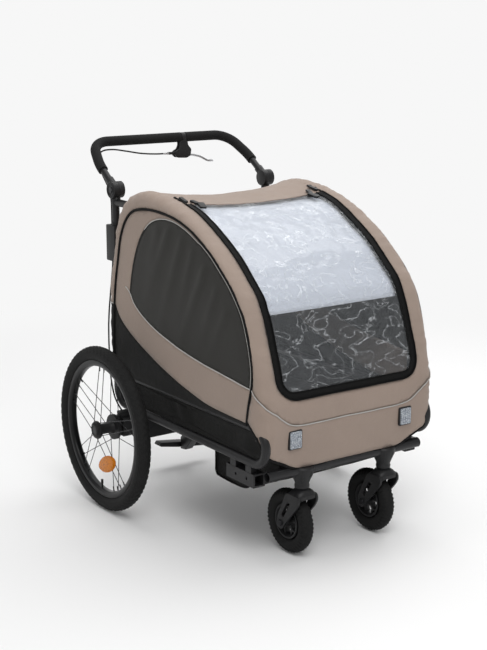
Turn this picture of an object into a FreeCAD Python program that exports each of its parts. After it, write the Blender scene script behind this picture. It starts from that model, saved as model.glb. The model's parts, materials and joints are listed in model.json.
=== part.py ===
import FreeCAD, Part
import Sketcher
import math
import os

# A two-seat child bicycle trailer that doubles as a stroller.
# X runs across it, Y from its front (-Y) to its rear (+Y), Z up from the ground. Left and right
# are those of someone who stands before it and looks in through its front window: left is -X.
# Every sub-part is laid out from the rear axle: the cell axle_y moves it all so that the
# origin is under the middle of the whole trailer.

V = FreeCAD.Vector
doc = FreeCAD.newDocument("bicycle_trailer")
sheet = doc.addObject("Spreadsheet::Sheet", "dims")

DIMENSIONS = {
    # rear wheels
    "axle_y": 188, "wheel_radius": 250, "wheel_x": 397, "tyre_section": 22.5, "tyre_wall": 3,
    "rim_inner": 190, "rim_outer": 208, "hub_outer": 25, "hub_inner": 38,
    "hub_barrel": 16, "outer_flange": 27, "inner_flange": 38, "axle_radius": 6, "running_fit": 0.05,
    "spoke_radius": 1.1, "spokes_per_flange": 10, "lock_holes": 16, "lock_pitch": 28, "lock_hole": 4.2,
    "lock_pin": 3.2, "button_radius": 8.6, "button_gap": 0.5, "reflector_pitch": 106,
    # front casters
    "caster_x": 145.5, "caster_y": -644, "caster_trail": 51, "caster_radius": 92, "caster_section": 22,
    "crown_top": 200, "fork_half": 35, "fork_gap": 28, "stem_radius": 9, "stem_top": 240,
    "caster_axle": 4,
    # lower frame
    "loop_x": 284, "loop_tube": 12.5, "tube_wall": 1.8, "loop_middle": 340, "loop_end": 50,
    "loop_front": -617.5, "loop_rear": 57.5, "cross_y": -650, "cross_z": 257, "cross_tube": 14,
    "cross_half": 268, "beam_half": 271, "beam_deep": 44, "beam_low": 200, "beam_high": 262,
    "socket_x": 270, "socket_side": 38, "socket_bore": 28, "socket_y": -554, "socket_long": 128,
    "socket_z": 240, "pin_hole": 4, "pin_pitch": 50, "pin_y": -560,
    # rear hoop, roof stubs and front arches
    "hoop_x": 276.5, "hoop_tube": 11, "hoop_y": 112, "hoop_pivot_z": 402, "hoop_bar_z": 700,
    "pivot_pin": 5, "roof_z": 909, "roof_front": -40, "arch_x": 250, "arch_tube": 9,
    "arch_pivot_y": -622, "arch_pivot_z": 362, "latch_low": 730, "latch_high": 110,
    # handle
    "hinge_y": 110, "hinge_z": 947, "knob_radius": 25, "knob_half": 18, "arm_reach": 223,
    "arm_straight": 118, "arm_start": 30, "grip_start": 90, "handle_bend": 66, "arm_bend": 200,
    "handle_tube": 10.5, "grip_radius": 15.5, "handle_half": 250, "handle_angle": 34.4,
    "clamp_x": 77, "clamp_gap": 9, "lever_z": 1019, "cable_radius": 2.5,
    "cable_gap": 0.5,
    # cabin
    "cover_half": 300, "cover_wall": 4, "cover_edge": 33, "cover_low": 404, "window_half": 245,
    "border": 27, "panel_y": -672, "panel_wall": 8, "footwell_half": 200, "pedal_y": 198,
    "pedal_z": 78, "pedal_half": 95, "pedal_tilt": 8.4,
}


class Size:
    """A length with its value and the expression that binds it to the sheet."""

    def __init__(self, value, text):
        self.value = float(value)
        self.text = text

    def with_other(self, other, sign, result):
        other = as_size(other)
        return Size(result(self.value, other.value), f"({self.text} {sign} {other.text})")

    def __add__(self, other):
        return self.with_other(other, "+", lambda a, b: a + b)

    def __radd__(self, other):
        return as_size(other) + self

    def __sub__(self, other):
        return self.with_other(other, "-", lambda a, b: a - b)

    def __rsub__(self, other):
        return as_size(other) - self

    def __mul__(self, other):
        return self.with_other(other, "*", lambda a, b: a * b)

    def __rmul__(self, other):
        return as_size(other) * self

    def __truediv__(self, other):
        return self.with_other(other, "/", lambda a, b: a / b)

    def __neg__(self):
        return Size(-self.value, f"(0 - {self.text})")

    def __float__(self):
        return self.value


def as_size(number):
    return number if isinstance(number, Size) else Size(number, f"({float(number):.6f})")


def fill_sheet():
    for row, (name, value) in enumerate(DIMENSIONS.items(), 1):
        sheet.set(f"A{row}", name)
        sheet.set(f"B{row}", str(value))
        sheet.setAlias(f"B{row}", name)
    doc.recompute()


def dim(name):
    return Size(sheet.get(name), f"dims.{name}")


fill_sheet()


# ---- making and placing objects -----------------------------------------------------------

def bind(obj, prop, size):
    """Sets a property to a size and keeps it bound to the sheet."""
    obj.setExpression(prop, as_size(size).text)


UPRIGHT = FreeCAD.Rotation()
ALONG_X = FreeCAD.Rotation(V(0, 1, 0), 90)
ALONG_Y = FreeCAD.Rotation(V(1, 0, 0), -90)


def put(obj, x=0, y=0, z=0, rotation=UPRIGHT):
    """Places an object, with y counted from the rear axle."""
    base = V(float(x), float(y + dim("axle_y")), float(z))
    obj.Placement = FreeCAD.Placement(base, rotation)
    bind(obj, "Placement.Base.x", x)
    bind(obj, "Placement.Base.y", y + dim("axle_y"))
    bind(obj, "Placement.Base.z", z)
    return obj


def named(obj, label):
    obj.Label = label
    return obj


def primitive(kind, name, **sizes):
    obj = doc.addObject(f"Part::{kind}", name)
    for prop, size in sizes.items():
        bind(obj, prop, size)
    return obj


def rod(name, radius, length, x, y, z, rotation=UPRIGHT):
    """A cylinder that starts at a point; it stands up unless it is turned."""
    return put(primitive("Cylinder", name, Radius=radius, Height=length), x, y, z, rotation)


def rod_x(name, radius, length, middle, y, z):
    """A cylinder along X about its middle."""
    return rod(name, radius, length, middle - as_size(length) / 2, y, z, ALONG_X)


def rod_y(name, radius, length, x, middle, z):
    """A cylinder along Y about its middle."""
    return rod(name, radius, length, x, middle - as_size(length) / 2, z, ALONG_Y)


def block(name, x, y, z, wide, deep, high):
    """A box with its middle in X and Y at x, y and its bottom at z."""
    obj = primitive("Box", name, Length=wide, Width=deep, Height=high)
    return put(obj, x - as_size(wide) / 2, y - as_size(deep) / 2, z)


def fuse(name, parts):
    obj = doc.addObject("Part::MultiFuse", name)
    obj.Shapes = parts
    obj.Refine = True
    return obj


def cut(name, base, tool):
    obj = doc.addObject("Part::Cut", name)
    obj.Base = base
    obj.Tool = tool
    return obj


def group(name, parts):
    """Several separate solids that share one node."""
    obj = doc.addObject("Part::Compound", name)
    obj.Links = parts
    return obj


def fixed_shape(label, shape):
    """A piece whose outline no primitive or sketch feature gives."""
    obj = doc.addObject("Part::Feature", label)
    obj.Shape = shape
    obj.Label = label
    obj.Placement = FreeCAD.Placement(V(0, float(dim("axle_y")), 0), FreeCAD.Rotation())
    bind(obj, "Placement.Base.y", dim("axle_y"))
    return obj


# ---- sketches and the features made from them ---------------------------------------------

def new_body(label):
    body = doc.addObject("PartDesign::Body", label)
    body.Label = label
    return body


def origin_of(body, role):
    return next(f for f in body.Origin.OriginFeatures if f.Role == role)


def new_sketch(body, role, name, offset=0):
    sketch = body.newObject("Sketcher::SketchObject", name)
    sketch.AttachmentSupport = [(origin_of(body, role), "")]
    sketch.MapMode = "FlatFace"
    bind(sketch, "AttachmentOffset.Base.z", offset)
    return sketch


def pin_point(sketch, geometry, corner, point):
    """Fixes a sketch point at its distances from the sketch's origin, each bound to the sheet."""
    for kind, size in zip(("DistanceX", "DistanceY"), point):
        size = as_size(size)
        number = sketch.addConstraint(
            Sketcher.Constraint(kind, -1, 1, geometry, corner, size.value)
        )
        sketch.setExpression(f"Constraints[{number}]", size.text)


def add_polygon(sketch, points):
    """A closed outline of straight sides."""
    flat = [V(float(a), float(b), 0) for a, b in points]
    first = sketch.GeometryCount
    for here, there in zip(flat, flat[1:] + flat[:1]):
        sketch.addGeometry(Part.LineSegment(here, there), False)
    for i in range(len(flat)):
        following = first + (i + 1) % len(flat)
        sketch.addConstraint(Sketcher.Constraint("Coincident", first + i, 2, following, 1))
        pin_point(sketch, first + i, 1, points[i])


def add_circle(sketch, centre, radius):
    radius = as_size(radius)
    middle = V(float(centre[0]), float(centre[1]), 0)
    number = sketch.addGeometry(Part.Circle(middle, V(0, 0, 1), radius.value), False)
    pin_point(sketch, number, 3, centre)
    fixed = sketch.addConstraint(Sketcher.Constraint("Radius", number, radius.value))
    sketch.setExpression(f"Constraints[{fixed}]", radius.text)


def corner_points(before, corner, after, radius):
    """Where an arc of that radius starts and ends when it rounds a corner, its middle and its turn."""
    into = (corner - before).normalize()
    out = (after - corner).normalize()
    turn = math.atan2(into.x * out.y - into.y * out.x, into.dot(out))
    reach = radius * math.tan(abs(turn) / 2)
    start, end = corner - into * reach, corner + out * reach
    side = 1 if turn > 0 else -1
    centre = start + V(-into.y, into.x, 0) * radius * side
    return start, end, centre, turn


def add_rounded_path(sketch, points, radii):
    """An open path of straight runs joined by tangent arcs, one radius for each inner point."""
    flat = [V(float(a), float(b), 0) for a, b in points]
    rounds = [
        corner_points(flat[i], flat[i + 1], flat[i + 2], float(radii[i])) for i in range(len(radii))
    ]
    starts = [flat[0]] + [r[1] for r in rounds]
    ends = [r[0] for r in rounds] + [flat[-1]]
    lines = [
        sketch.addGeometry(Part.LineSegment(a, b), False) for a, b in zip(starts, ends)
    ]
    pin_point(sketch, lines[0], 1, points[0])
    pin_point(sketch, lines[-1], 2, points[-1])
    for i, (start, end, centre, turn) in enumerate(rounds):
        first, last = (start, end) if turn > 0 else (end, start)
        low = math.atan2(first.y - centre.y, first.x - centre.x)
        high = math.atan2(last.y - centre.y, last.x - centre.x)
        circle = Part.Circle(centre, V(0, 0, 1), float(radii[i]))
        arc = sketch.addGeometry(Part.ArcOfCircle(circle, low, high), False)
        near, far = (1, 2) if turn > 0 else (2, 1)
        corner = sketch.addGeometry(Part.Point(flat[i + 1]), True)
        pin_point(sketch, corner, 1, points[i + 1])
        sketch.addConstraint(Sketcher.Constraint("PointOnObject", corner, 1, lines[i]))
        sketch.addConstraint(Sketcher.Constraint("PointOnObject", corner, 1, lines[i + 1]))
        sketch.addConstraint(Sketcher.Constraint("Tangent", lines[i], 2, arc, near))
        sketch.addConstraint(Sketcher.Constraint("Tangent", arc, far, lines[i + 1], 1))
        radius = as_size(radii[i])
        fixed = sketch.addConstraint(Sketcher.Constraint("Radius", arc, radius.value))
        sketch.setExpression(f"Constraints[{fixed}]", radius.text)


def turned(label, outline, axis="X_Axis"):
    """A body turned about one of its own axes from an outline of (along, radius) points."""
    body = new_body(label)
    plane = "XY_Plane" if axis == "X_Axis" else "XZ_Plane"
    sketch = new_sketch(body, plane, f"{label}_outline")
    points = outline if axis == "X_Axis" else [(r, a) for a, r in outline]
    add_polygon(sketch, points)
    turn = body.newObject("PartDesign::Revolution", f"{label}_turn")
    turn.Profile = sketch
    turn.ReferenceAxis = (origin_of(body, axis), [""])
    turn.Angle = 360
    body.Tip = turn
    return body


def padded(label, role, outline, length, offset=0):
    """A body of one outline, padded both ways from its plane by half the length."""
    body = new_body(label)
    sketch = new_sketch(body, role, f"{label}_outline", offset)
    add_polygon(sketch, outline)
    pad = body.newObject("PartDesign::Pad", f"{label}_pad")
    pad.Profile = sketch
    pad.Midplane = True
    bind(pad, "Length", length)
    body.Tip = pad
    return body


def pocket(body, role, draw, length, offset=0):
    """A pocket cut both ways from its plane; draw adds the outline to its sketch."""
    number = len(body.Group)
    sketch = new_sketch(body, role, f"{body.Label}_cut_{number}", offset)
    draw(sketch)
    made = body.newObject("PartDesign::Pocket", f"{body.Label}_pocket_{number}")
    made.Profile = sketch
    made.Midplane = True
    bind(made, "Length", length)
    body.Tip = made
    return made


def around(body, feature, count, axis="X_Axis"):
    """Repeats a feature evenly about one of the body's axes."""
    pattern = body.newObject("PartDesign::PolarPattern", f"{body.Label}_ring_{len(body.Group)}")
    pattern.Originals = [feature]
    pattern.Axis = (origin_of(body, axis), [""])
    pattern.Angle = 360
    bind(pattern, "Occurrences", count)
    body.Tip = pattern
    return pattern


def tube(label, role, points, radii, outer, wall):
    """A bent tube whose path lies in an origin plane and starts along the sketch's own vertical."""
    body = new_body(label)
    path = new_sketch(body, role, f"{label}_path")
    add_rounded_path(path, points, radii)
    ring = body.newObject("Sketcher::SketchObject", f"{label}_ring")
    ring.AttachmentSupport = [(path, "Edge1")]
    ring.MapMode = "NormalToEdge"
    add_circle(ring, (0, 0), outer)
    if wall is not None:
        add_circle(ring, (0, 0), as_size(outer) - wall)
    pipe = body.newObject("PartDesign::AdditivePipe", f"{label}_pipe")
    pipe.Profile = ring
    pipe.Spine = path
    body.Tip = pipe
    return body


SIDES = (("left", -1), ("right", 1))


def both(label, make):
    return [make(f"{label}_{word}", side) for word, side in SIDES]


def torus_x(name, ring, section, x, y, z):
    return put(primitive("Torus", name, Radius1=ring, Radius2=section), x, y, z, ALONG_X)


# ---- rear wheels --------------------------------------------------------------------------

def rear_tyre(name, side):
    ring = dim("wheel_radius") - dim("tyre_section")
    place = (side * dim("wheel_x"), 0, dim("wheel_radius"))
    outside = torus_x(f"{name}_outside", ring, dim("tyre_section"), *place)
    inside = torus_x(f"{name}_inside", ring, dim("tyre_section") - dim("tyre_wall"), *place)
    return named(cut(name, outside, inside), name)


def rear_rim(name, side):
    """A box-section rim with a bed for the tyre between its two walls."""
    inner, outer = dim("rim_inner"), dim("rim_outer")
    outline = [
        (-13, outer), (-11, outer), (-8, outer - 5), (8, outer - 5), (11, outer), (13, outer),
        (13, inner + 7), (8, inner), (-8, inner), (-13, inner + 7),
    ]
    return put(turned(name, outline), side * dim("wheel_x"), 0, dim("wheel_radius"))


def rear_hub(name, side):
    """A barrel between a small outer flange and a big inner one with holes for the parking pins."""
    bore = dim("axle_radius") + dim("running_fit")
    mouth = dim("button_radius") + dim("button_gap")
    out, into, barrel = dim("hub_outer"), dim("hub_inner"), dim("hub_barrel")
    outline = [
        (-into, bore), (-into, dim("inner_flange")), (-into + 9, dim("inner_flange")),
        (-into + 12, barrel + 4), (-into + 22, barrel), (out - 8, barrel), (out - 4, barrel + 5),
        (out - 4, dim("outer_flange")), (out + 1, dim("outer_flange")), (out + 4, 19), (out + 8, 18),
        (out + 8, mouth), (out - 1, mouth), (out - 1, bore),
    ]
    body = turned(name, [(side * along, radius) for along, radius in outline])
    hole = pocket(
        body, "YZ_Plane", lambda sketch: add_circle(sketch, (dim("lock_pitch"), 0), dim("lock_hole")),
        18, side * -into,
    )
    around(body, hole, dim("lock_holes"))
    return put(body, side * dim("wheel_x"), 0, dim("wheel_radius"))


def spoke(name, side, flange_out, flange_radius, angle, lean):
    """One straight spoke from its flange to the rim, leaning round the wheel."""
    start = V(side * flange_out, flange_radius * math.cos(angle), flange_radius * math.sin(angle))
    reach, far = float(dim("rim_inner")) + 1, angle + lean
    end = V(side * math.copysign(3, flange_out), reach * math.cos(far), reach * math.sin(far))
    run = end - start
    centre = V(side * float(dim("wheel_x")), 0, float(dim("wheel_radius")))
    first = centre + start
    turn = FreeCAD.Rotation(V(0, 0, 1), run)
    return rod(name, dim("spoke_radius"), run.Length, first.x, first.y, first.z, turn)


def rear_spokes(name, side):
    """Crossed spokes: each flange's spokes lean alternately one way and the other."""
    count = int(float(dim("spokes_per_flange")))
    flanges = (
        (float(dim("hub_outer")) - 1.5, float(dim("outer_flange")) - 3, 0.0),
        (4.5 - float(dim("hub_inner")), float(dim("inner_flange")) - 3, math.pi / count),
    )
    made = []
    for flange, (out, radius, shift) in enumerate(flanges):
        for i in range(count):
            angle = shift + 2 * math.pi * i / count
            lean = math.radians(50) * (1 if i % 2 else -1)
            made.append(spoke(f"{name}_{flange}_{i}", side, out, radius, angle, lean))
    return named(group(name, made), name)


def spoke_reflector(name, side):
    """An oval lens clipped across the spokes, square to the radius."""
    lens = primitive("Ellipsoid", name, Radius1=4, Radius2=52, Radius3=25)
    lens.Angle1, lens.Angle2, lens.Angle3 = -90, 90, 360
    angle = math.radians(-113.4)
    radial = V(0, math.cos(angle), math.sin(angle))
    turn = FreeCAD.Rotation(V(1, 0, 0).cross(radial), radial, V(1, 0, 0))
    pitch = dim("reflector_pitch")
    return named(put(
        lens, side * (dim("wheel_x") + 16), pitch * radial.y, dim("wheel_radius") + pitch * radial.z, turn,
    ), name)


def wheel_button(name, side):
    """The push button that frees the wheel, in the mouth of the hub's outer end."""
    middle = side * (dim("wheel_x") + dim("hub_outer") + 5)
    return named(rod_x(name, dim("button_radius"), 7, middle, 0, dim("wheel_radius")), name)


# ---- front casters ------------------------------------------------------------------------

def caster_fork(name, side):
    """A one-piece fork: a crown, two flat slotted arms that trail back to the axle, and a stem."""
    trail, axle = dim("caster_trail"), dim("caster_radius")
    top = dim("crown_top")
    outline = [
        (-27, top - 16), (-18, top), (20, top), (34, top - 18), (trail + 15, axle + 14),
        (trail + 15, axle - 8), (trail + 6, axle - 16), (trail - 8, axle - 15),
        (trail - 17, axle), (-20, top - 36),
    ]
    body = padded(name, "YZ_Plane", outline, dim("fork_half") * 2)
    gap = dim("fork_gap")
    wheel_room = [(-gap, axle - 30), (gap, axle - 30), (gap, top - 12), (-gap, top - 12)]
    pocket(body, "XZ_Plane", lambda sketch: add_polygon(sketch, wheel_room), 260)
    slot = [(8, top - 34), (20, top - 34), (trail, axle + 22), (trail - 12, axle + 18)]
    pocket(body, "YZ_Plane", lambda sketch: add_polygon(sketch, slot), 90)
    pocket(body, "YZ_Plane", lambda sketch: add_circle(sketch, (trail, axle), dim("caster_axle")), 90)
    circle = new_sketch(body, "XY_Plane", f"{name}_stem_circle", top)
    add_circle(circle, (0, 0), dim("stem_radius"))
    stem = body.newObject("PartDesign::Pad", f"{name}_stem")
    stem.Profile = circle
    bind(stem, "Length", dim("stem_top") - top)
    body.Tip = stem
    return put(body, side * dim("caster_x"), dim("caster_y"), 0)


def caster_place(side):
    return side * dim("caster_x"), dim("caster_y") + dim("caster_trail"), dim("caster_radius")


def caster_tyre(name, side):
    ring = dim("caster_radius") - dim("caster_section")
    return named(torus_x(name, ring, dim("caster_section"), *caster_place(side)), name)


def caster_core(name, side):
    """Hub, web and rim of the small wheel, with five windows in the web."""
    bore = dim("caster_axle") + dim("running_fit")
    outline = [
        (-26, bore), (-26, 13), (-5, 14), (-5, 40), (-13, 41), (-13, 47), (13, 47), (13, 41),
        (5, 40), (5, 14), (26, 13), (26, bore),
    ]
    body = turned(name, outline)
    window = [(18, -3), (18, 3), (38, 12), (38, -12)]
    opening = pocket(body, "YZ_Plane", lambda sketch: add_polygon(sketch, window), 20)
    around(body, opening, 5)
    return put(body, *caster_place(side))


def caster_axle(name, side):
    """A through bolt with a domed head and a nut outside the fork's arms."""
    x, y, z = caster_place(side)
    parts = [rod_x(f"{name}_shank", dim("caster_axle"), dim("fork_half") * 2 + 8, x, y, z)]
    for end in (-1, 1):
        middle = x + end * (dim("fork_half") + 2.5)
        parts.append(rod_x(f"{name}_head_{end + 1}", 8, 4, middle, y, z))
    return named(fuse(name, parts), name)


def caster_housing(name, side):
    """The flared socket under the front tube in which the caster's stem turns."""
    bore, top = dim("stem_radius") + dim("running_fit"), dim("stem_top")
    low = dim("crown_top") + 3.5
    outline = [
        (low, bore), (low, 17), (low + 8, 18), (low + 12, 22), (low + 20, 22), (low + 24, 19),
        (top + 4, 25), (top + 22, 22), (top + 22, 0), (top + 2, 0), (top + 2, bore),
    ]
    return put(turned(name, outline, "Z_Axis"), side * dim("caster_x"), dim("caster_y"), 0)


# ---- lower frame --------------------------------------------------------------------------

def loop_solid(name, x, radius):
    """A closed racetrack of two straight rails and two half rings, of one radius."""
    front, rear, end = dim("loop_front"), dim("loop_rear"), dim("loop_end")
    middle = dim("loop_middle")
    parts = []
    for where, z in (("low", middle - end), ("high", middle + end)):
        rail = rod_y(f"{name}_{where}", radius, rear - front, x, (front + rear) / 2, z)
        parts.append(rail)
    nose = FreeCAD.Rotation(V(0, 0, 1), V(0, -1, 0), V(1, 0, 0))
    tail = FreeCAD.Rotation(V(0, 0, -1), V(0, 1, 0), V(1, 0, 0))
    for where, y, turn in (("nose", front, nose), ("tail", rear, tail)):
        bend = primitive("Torus", f"{name}_{where}", Radius1=end, Radius2=radius)
        bend.Angle3 = 180
        parts.append(put(bend, x, y, middle, turn))
    return fuse(f"{name}_solid", parts)


def side_loop(name, side):
    x = side * dim("loop_x")
    outside = loop_solid(f"{name}_outside", x, dim("loop_tube"))
    inside = loop_solid(f"{name}_inside", x, dim("loop_tube") - dim("tube_wall"))
    return named(cut(name, outside, inside), name)


def pipe_x(name, radius, wall, half, y, z):
    """A straight open tube along X, centred on the trailer."""
    outside = rod_x(f"{name}_outside", radius, half * 2, 0, y, z)
    inside = rod_x(f"{name}_bore", radius - wall, half * 2 + 2, 0, y, z)
    return named(cut(name, outside, inside), name)


def front_tube(name):
    half, y, z = dim("cross_half"), dim("cross_y"), dim("cross_z")
    return pipe_x(name, dim("cross_tube"), dim("tube_wall"), half, y, z)


def box_beam(name):
    """The hollow box beam under the cabin."""
    low, high, deep = dim("beam_low"), dim("beam_high"), dim("beam_deep")
    body = padded(name, "YZ_Plane", [
        (-deep / 2, low), (deep / 2, low), (deep / 2, high), (-deep / 2, high),
    ], dim("beam_half") * 2)
    wall = 3
    room = [
        (-deep / 2 + wall, low + wall), (deep / 2 - wall, low + wall),
        (deep / 2 - wall, high - wall), (-deep / 2 + wall, high - wall),
    ]
    pocket(body, "YZ_Plane", lambda sketch: add_polygon(sketch, room), dim("beam_half") * 2 + 4)
    return put(body)


def pedal_bracket(name):
    """A web from the beam down to the rocker pedal, with the pedal's pivot pin."""
    rear, z = dim("pedal_y") - 18, dim("pedal_z")
    web = padded(f"{name}_web", "YZ_Plane", [
        (dim("beam_deep") / 2, 208), (dim("beam_deep") / 2, 250), (60, 246),
        (rear, z + 26), (rear, z - 12), (rear - 30, z - 8),
    ], 26)
    pin = rod_y(f"{name}_pin", dim("pivot_pin"), 60, 0, dim("pedal_y"), z)
    return named(fuse(name, [put(web), pin]), name)


def axle_beam(name):
    """The beam and the pedal's bracket on its rear face."""
    return named(group(name, [box_beam(f"{name}_box"), pedal_bracket(f"{name}_bracket")]), name)


def parking_pedal(name):
    """A rocker bar pressed at one end to lock the wheels and at the other to free them."""
    half = dim("pedal_half")
    body = padded(name, "XZ_Plane", [
        (-half, -3), (-half + 6, 8), (-18, 9), (18, 9), (half - 6, 8), (half, -3),
        (half - 10, -7), (16, -10), (-16, -10), (-half + 10, -7),
    ], 34)
    bore = dim("pivot_pin") + dim("running_fit")
    pocket(body, "XZ_Plane", lambda sketch: add_circle(sketch, (0, 0), bore), 60)
    turn = FreeCAD.Rotation(V(0, 1, 0), float(dim("pedal_tilt")))
    return put(body, 0, dim("pedal_y"), dim("pedal_z"), turn)


def axle_bracket(name, side):
    """The block at the beam's end that hangs from the side loop, the wheel's fixed stub axle in it
    and the guide for the parking pin."""
    middle = side * 308.5
    low_block = block(f"{name}_low", middle, 0, 222, 73, 52, 55)
    tower = block(f"{name}_tower", side * 322.5, 0, 277, 45, 24, 17)
    whole = fuse(f"{name}_whole", [low_block, tower])
    axle = rod_x(f"{name}_axle_bore", dim("axle_radius"), 100, middle, 0, dim("wheel_radius"))
    guide_z = dim("wheel_radius") + dim("lock_pitch")
    guide = rod_x(f"{name}_guide", dim("lock_pin") + dim("running_fit"), 60, side * 322.5, 0, guide_z)
    carrier = cut(f"{name}_carrier", whole, fuse(f"{name}_bores", [axle, guide]))
    stub = rod_x(f"{name}_stub_axle", dim("axle_radius"), 108, side * 366, 0, dim("wheel_radius"))
    return group(name, [carrier, stub])


def parking_pin(name, side):
    z = dim("wheel_radius") + dim("lock_pitch")
    return named(rod_x(name, dim("lock_pin"), 52, side * 331, 0, z), name)


def tow_socket(name, side):
    """A square tube open at both ends, cross-drilled for the drawbar's pin, hung from the loop."""
    half, bore = dim("socket_side") / 2, dim("socket_bore") / 2
    body = padded(name, "XZ_Plane", [
        (-half, -half), (half, -half), (half, half), (-half, half),
    ], dim("socket_long"))
    inside = [(-bore, -bore), (bore, -bore), (bore, bore), (-bore, bore)]
    pocket(body, "XZ_Plane", lambda sketch: add_polygon(sketch, inside), dim("socket_long") + 4)
    first = dim("pin_y") - dim("socket_y") - dim("pin_pitch") / 2

    def holes(sketch):
        add_circle(sketch, (first, 0), dim("pin_hole"))
        add_circle(sketch, (first + dim("pin_pitch"), 0), dim("pin_hole"))

    pocket(body, "YZ_Plane", holes, 60)
    return put(body, side * dim("socket_x"), dim("socket_y"), dim("socket_z"))


def hung_socket(name, side):
    """A tow socket with the two saddles that join it to the rail above."""
    low = dim("socket_z") + dim("socket_side") / 2
    made = [tow_socket(f"{name}_tube", side)]
    for place, y in (("front", -592), ("rear", -520)):
        made.append(block(f"{name}_saddle_{place}", side * 278, y, low, 20, 26, 24))
    return group(name, made)


def rear_pivot(name, side):
    """A plate behind the loop's tail and the pin on which the hoop turns."""
    plate = padded(f"{name}_plate", "YZ_Plane", [
        (52, 384), (62, 408), (106, 420), (124, 414), (127, 396), (112, 384), (112, 352), (100, 340),
    ], 6)
    put(plate, side * 293)
    pin = rod_x(f"{name}_pin", dim("pivot_pin"), 34, side * 279, dim("hoop_y"), dim("hoop_pivot_z"))
    return fuse(name, [plate, pin])


def front_pivot(name, side):
    """A plate inside the loop's nose and the pin on which the arch turns."""
    plate = padded(f"{name}_plate", "YZ_Plane", [
        (-640, 348), (-604, 348), (-590, 384), (-652, 384),
    ], 12)
    put(plate, side * 268)
    y, z = dim("arch_pivot_y"), dim("arch_pivot_z")
    pin = rod_x(f"{name}_pin", dim("pivot_pin"), 36, side * 256, y, z)
    return fuse(name, [plate, pin])


def fold_pivots(name):
    made = []
    for word, side in SIDES:
        made.append(rear_pivot(f"{name}_rear_{word}", side))
        made.append(front_pivot(f"{name}_front_{word}", side))
    return named(group(name, made), name)


# ---- folding frame ------------------------------------------------------------------------

def eye(name, tube_body, x, y, z, radius, width):
    """Adds a bored eye to the end of a tube."""
    boss = rod_x(f"{name}_boss", radius, width, x, y, z)
    joined = fuse(f"{name}_joined", [tube_body, boss])
    bore = dim("pivot_pin") + dim("running_fit")
    return cut(name, joined, rod_x(f"{name}_bore", bore, width + 8, x, y, z))


def hoop_upright(name, side):
    """An upright tube from its foot pivot to the underside of the handle's hinge."""
    x, y, foot = side * dim("hoop_x"), dim("hoop_y"), dim("hoop_pivot_z")
    length = dim("hinge_z") - 28 - foot
    outside = rod(f"{name}_outside", dim("hoop_tube"), length, x, y, foot)
    inside = rod(f"{name}_inside", dim("hoop_tube") - dim("tube_wall"), length, x, y, foot + 14)
    pipe = cut(f"{name}_pipe", outside, inside)
    return named(eye(name, pipe, x, y, foot, 13, 18), name)


def roof_stub(name, side):
    """A short rail from an upright forward to where the arch's end lies beside it."""
    length = dim("hoop_y") - dim("hoop_tube") - dim("roof_front")
    place = (side * dim("hoop_x"), dim("roof_front") + length / 2, dim("roof_z"))
    outside = rod_y(f"{name}_outside", dim("hoop_tube"), length, *place)
    inside = rod_y(f"{name}_inside", dim("hoop_tube") - dim("tube_wall"), length + 2, *place)
    return cut(name, outside, inside)


def hoop_rails(name):
    """The hoop's cross bar and its two roof stubs."""
    bar = pipe_x(f"{name}_bar", dim("hoop_tube"), dim("tube_wall"), dim("hoop_x") - dim("hoop_tube"),
                 dim("hoop_y"), dim("hoop_bar_z"))
    return named(group(name, [bar] + both(f"{name}_stub", roof_stub)), name)


def arch_tube(name, side):
    """A front arch from its nose pivot up the windscreen's edge and back under the roof."""
    y, z = dim("arch_pivot_y"), dim("arch_pivot_z")
    pipe = tube(f"{name}_pipe", "YZ_Plane", [
        (y, z + 10), (-636, 540), (-580, 695), (-420, 830), (-250, 896), (-60, dim("roof_z")),
    ], [400, 200, 200, 200], dim("arch_tube"), dim("tube_wall"))
    put(pipe, side * dim("arch_x"))
    return eye(name, pipe, side * dim("arch_x"), y, z, 12.5, 16)


def front_arches(name):
    return named(group(name, [arch_tube(f"{name}_{word}", side) for word, side in SIDES]), name)


def fold_latch(name, side):
    """A sliding sleeve on the upright, with a way through for the brake cable behind the tube."""
    x, low, high = side * dim("hoop_x"), dim("latch_low"), dim("latch_high")
    whole = block(f"{name}_whole", x, dim("hoop_y") + 10, low, 32, 50, high)
    tube_way = rod(f"{name}_tube_way", dim("hoop_tube") + 0.1, high + 4, x, dim("hoop_y"), low - 2)
    cable_way = rod(f"{name}_cable_way", 4.5, high + 4, x, dim("hoop_y") + 26, low - 2)
    return named(cut(name, whole, fuse(f"{name}_ways", [tube_way, cable_way])), name)


# ---- handle -------------------------------------------------------------------------------

def handle_rotation():
    return FreeCAD.Rotation(V(1, 0, 0), float(dim("handle_angle")))


def put_on_handle(obj):
    """Places a piece drawn flat, with its arms along Y, at the handle's hinge and tilt."""
    return put(obj, 0, dim("hinge_y"), dim("hinge_z"), handle_rotation())


def handlebar(name):
    side, reach, half = dim("hoop_x"), dim("arm_reach"), dim("handle_half")
    start, bend = dim("arm_start"), dim("arm_straight")
    points = [(-side, start), (-side, bend), (-half, reach), (half, reach), (side, bend), (side, start)]
    radii = [dim("arm_bend"), dim("handle_bend"), dim("handle_bend"), dim("arm_bend")]
    return put_on_handle(tube(name, "XY_Plane", points, radii, dim("handle_tube"), dim("tube_wall")))


def grip(name, side):
    """A foam sleeve from partway up one arm round the bend and along to the brake lever's clamp."""
    x, reach = side * dim("hoop_x"), dim("arm_reach")
    end = dim("clamp_x") + side * dim("clamp_gap")
    corner = side * dim("handle_half")
    points = [(x, dim("grip_start")), (x, dim("arm_straight")), (corner, reach), (end, reach)]
    radii = [dim("arm_bend"), dim("handle_bend")]
    wall = dim("grip_radius") - dim("handle_tube")
    return put_on_handle(tube(name, "XY_Plane", points, radii, dim("grip_radius"), wall))


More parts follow.
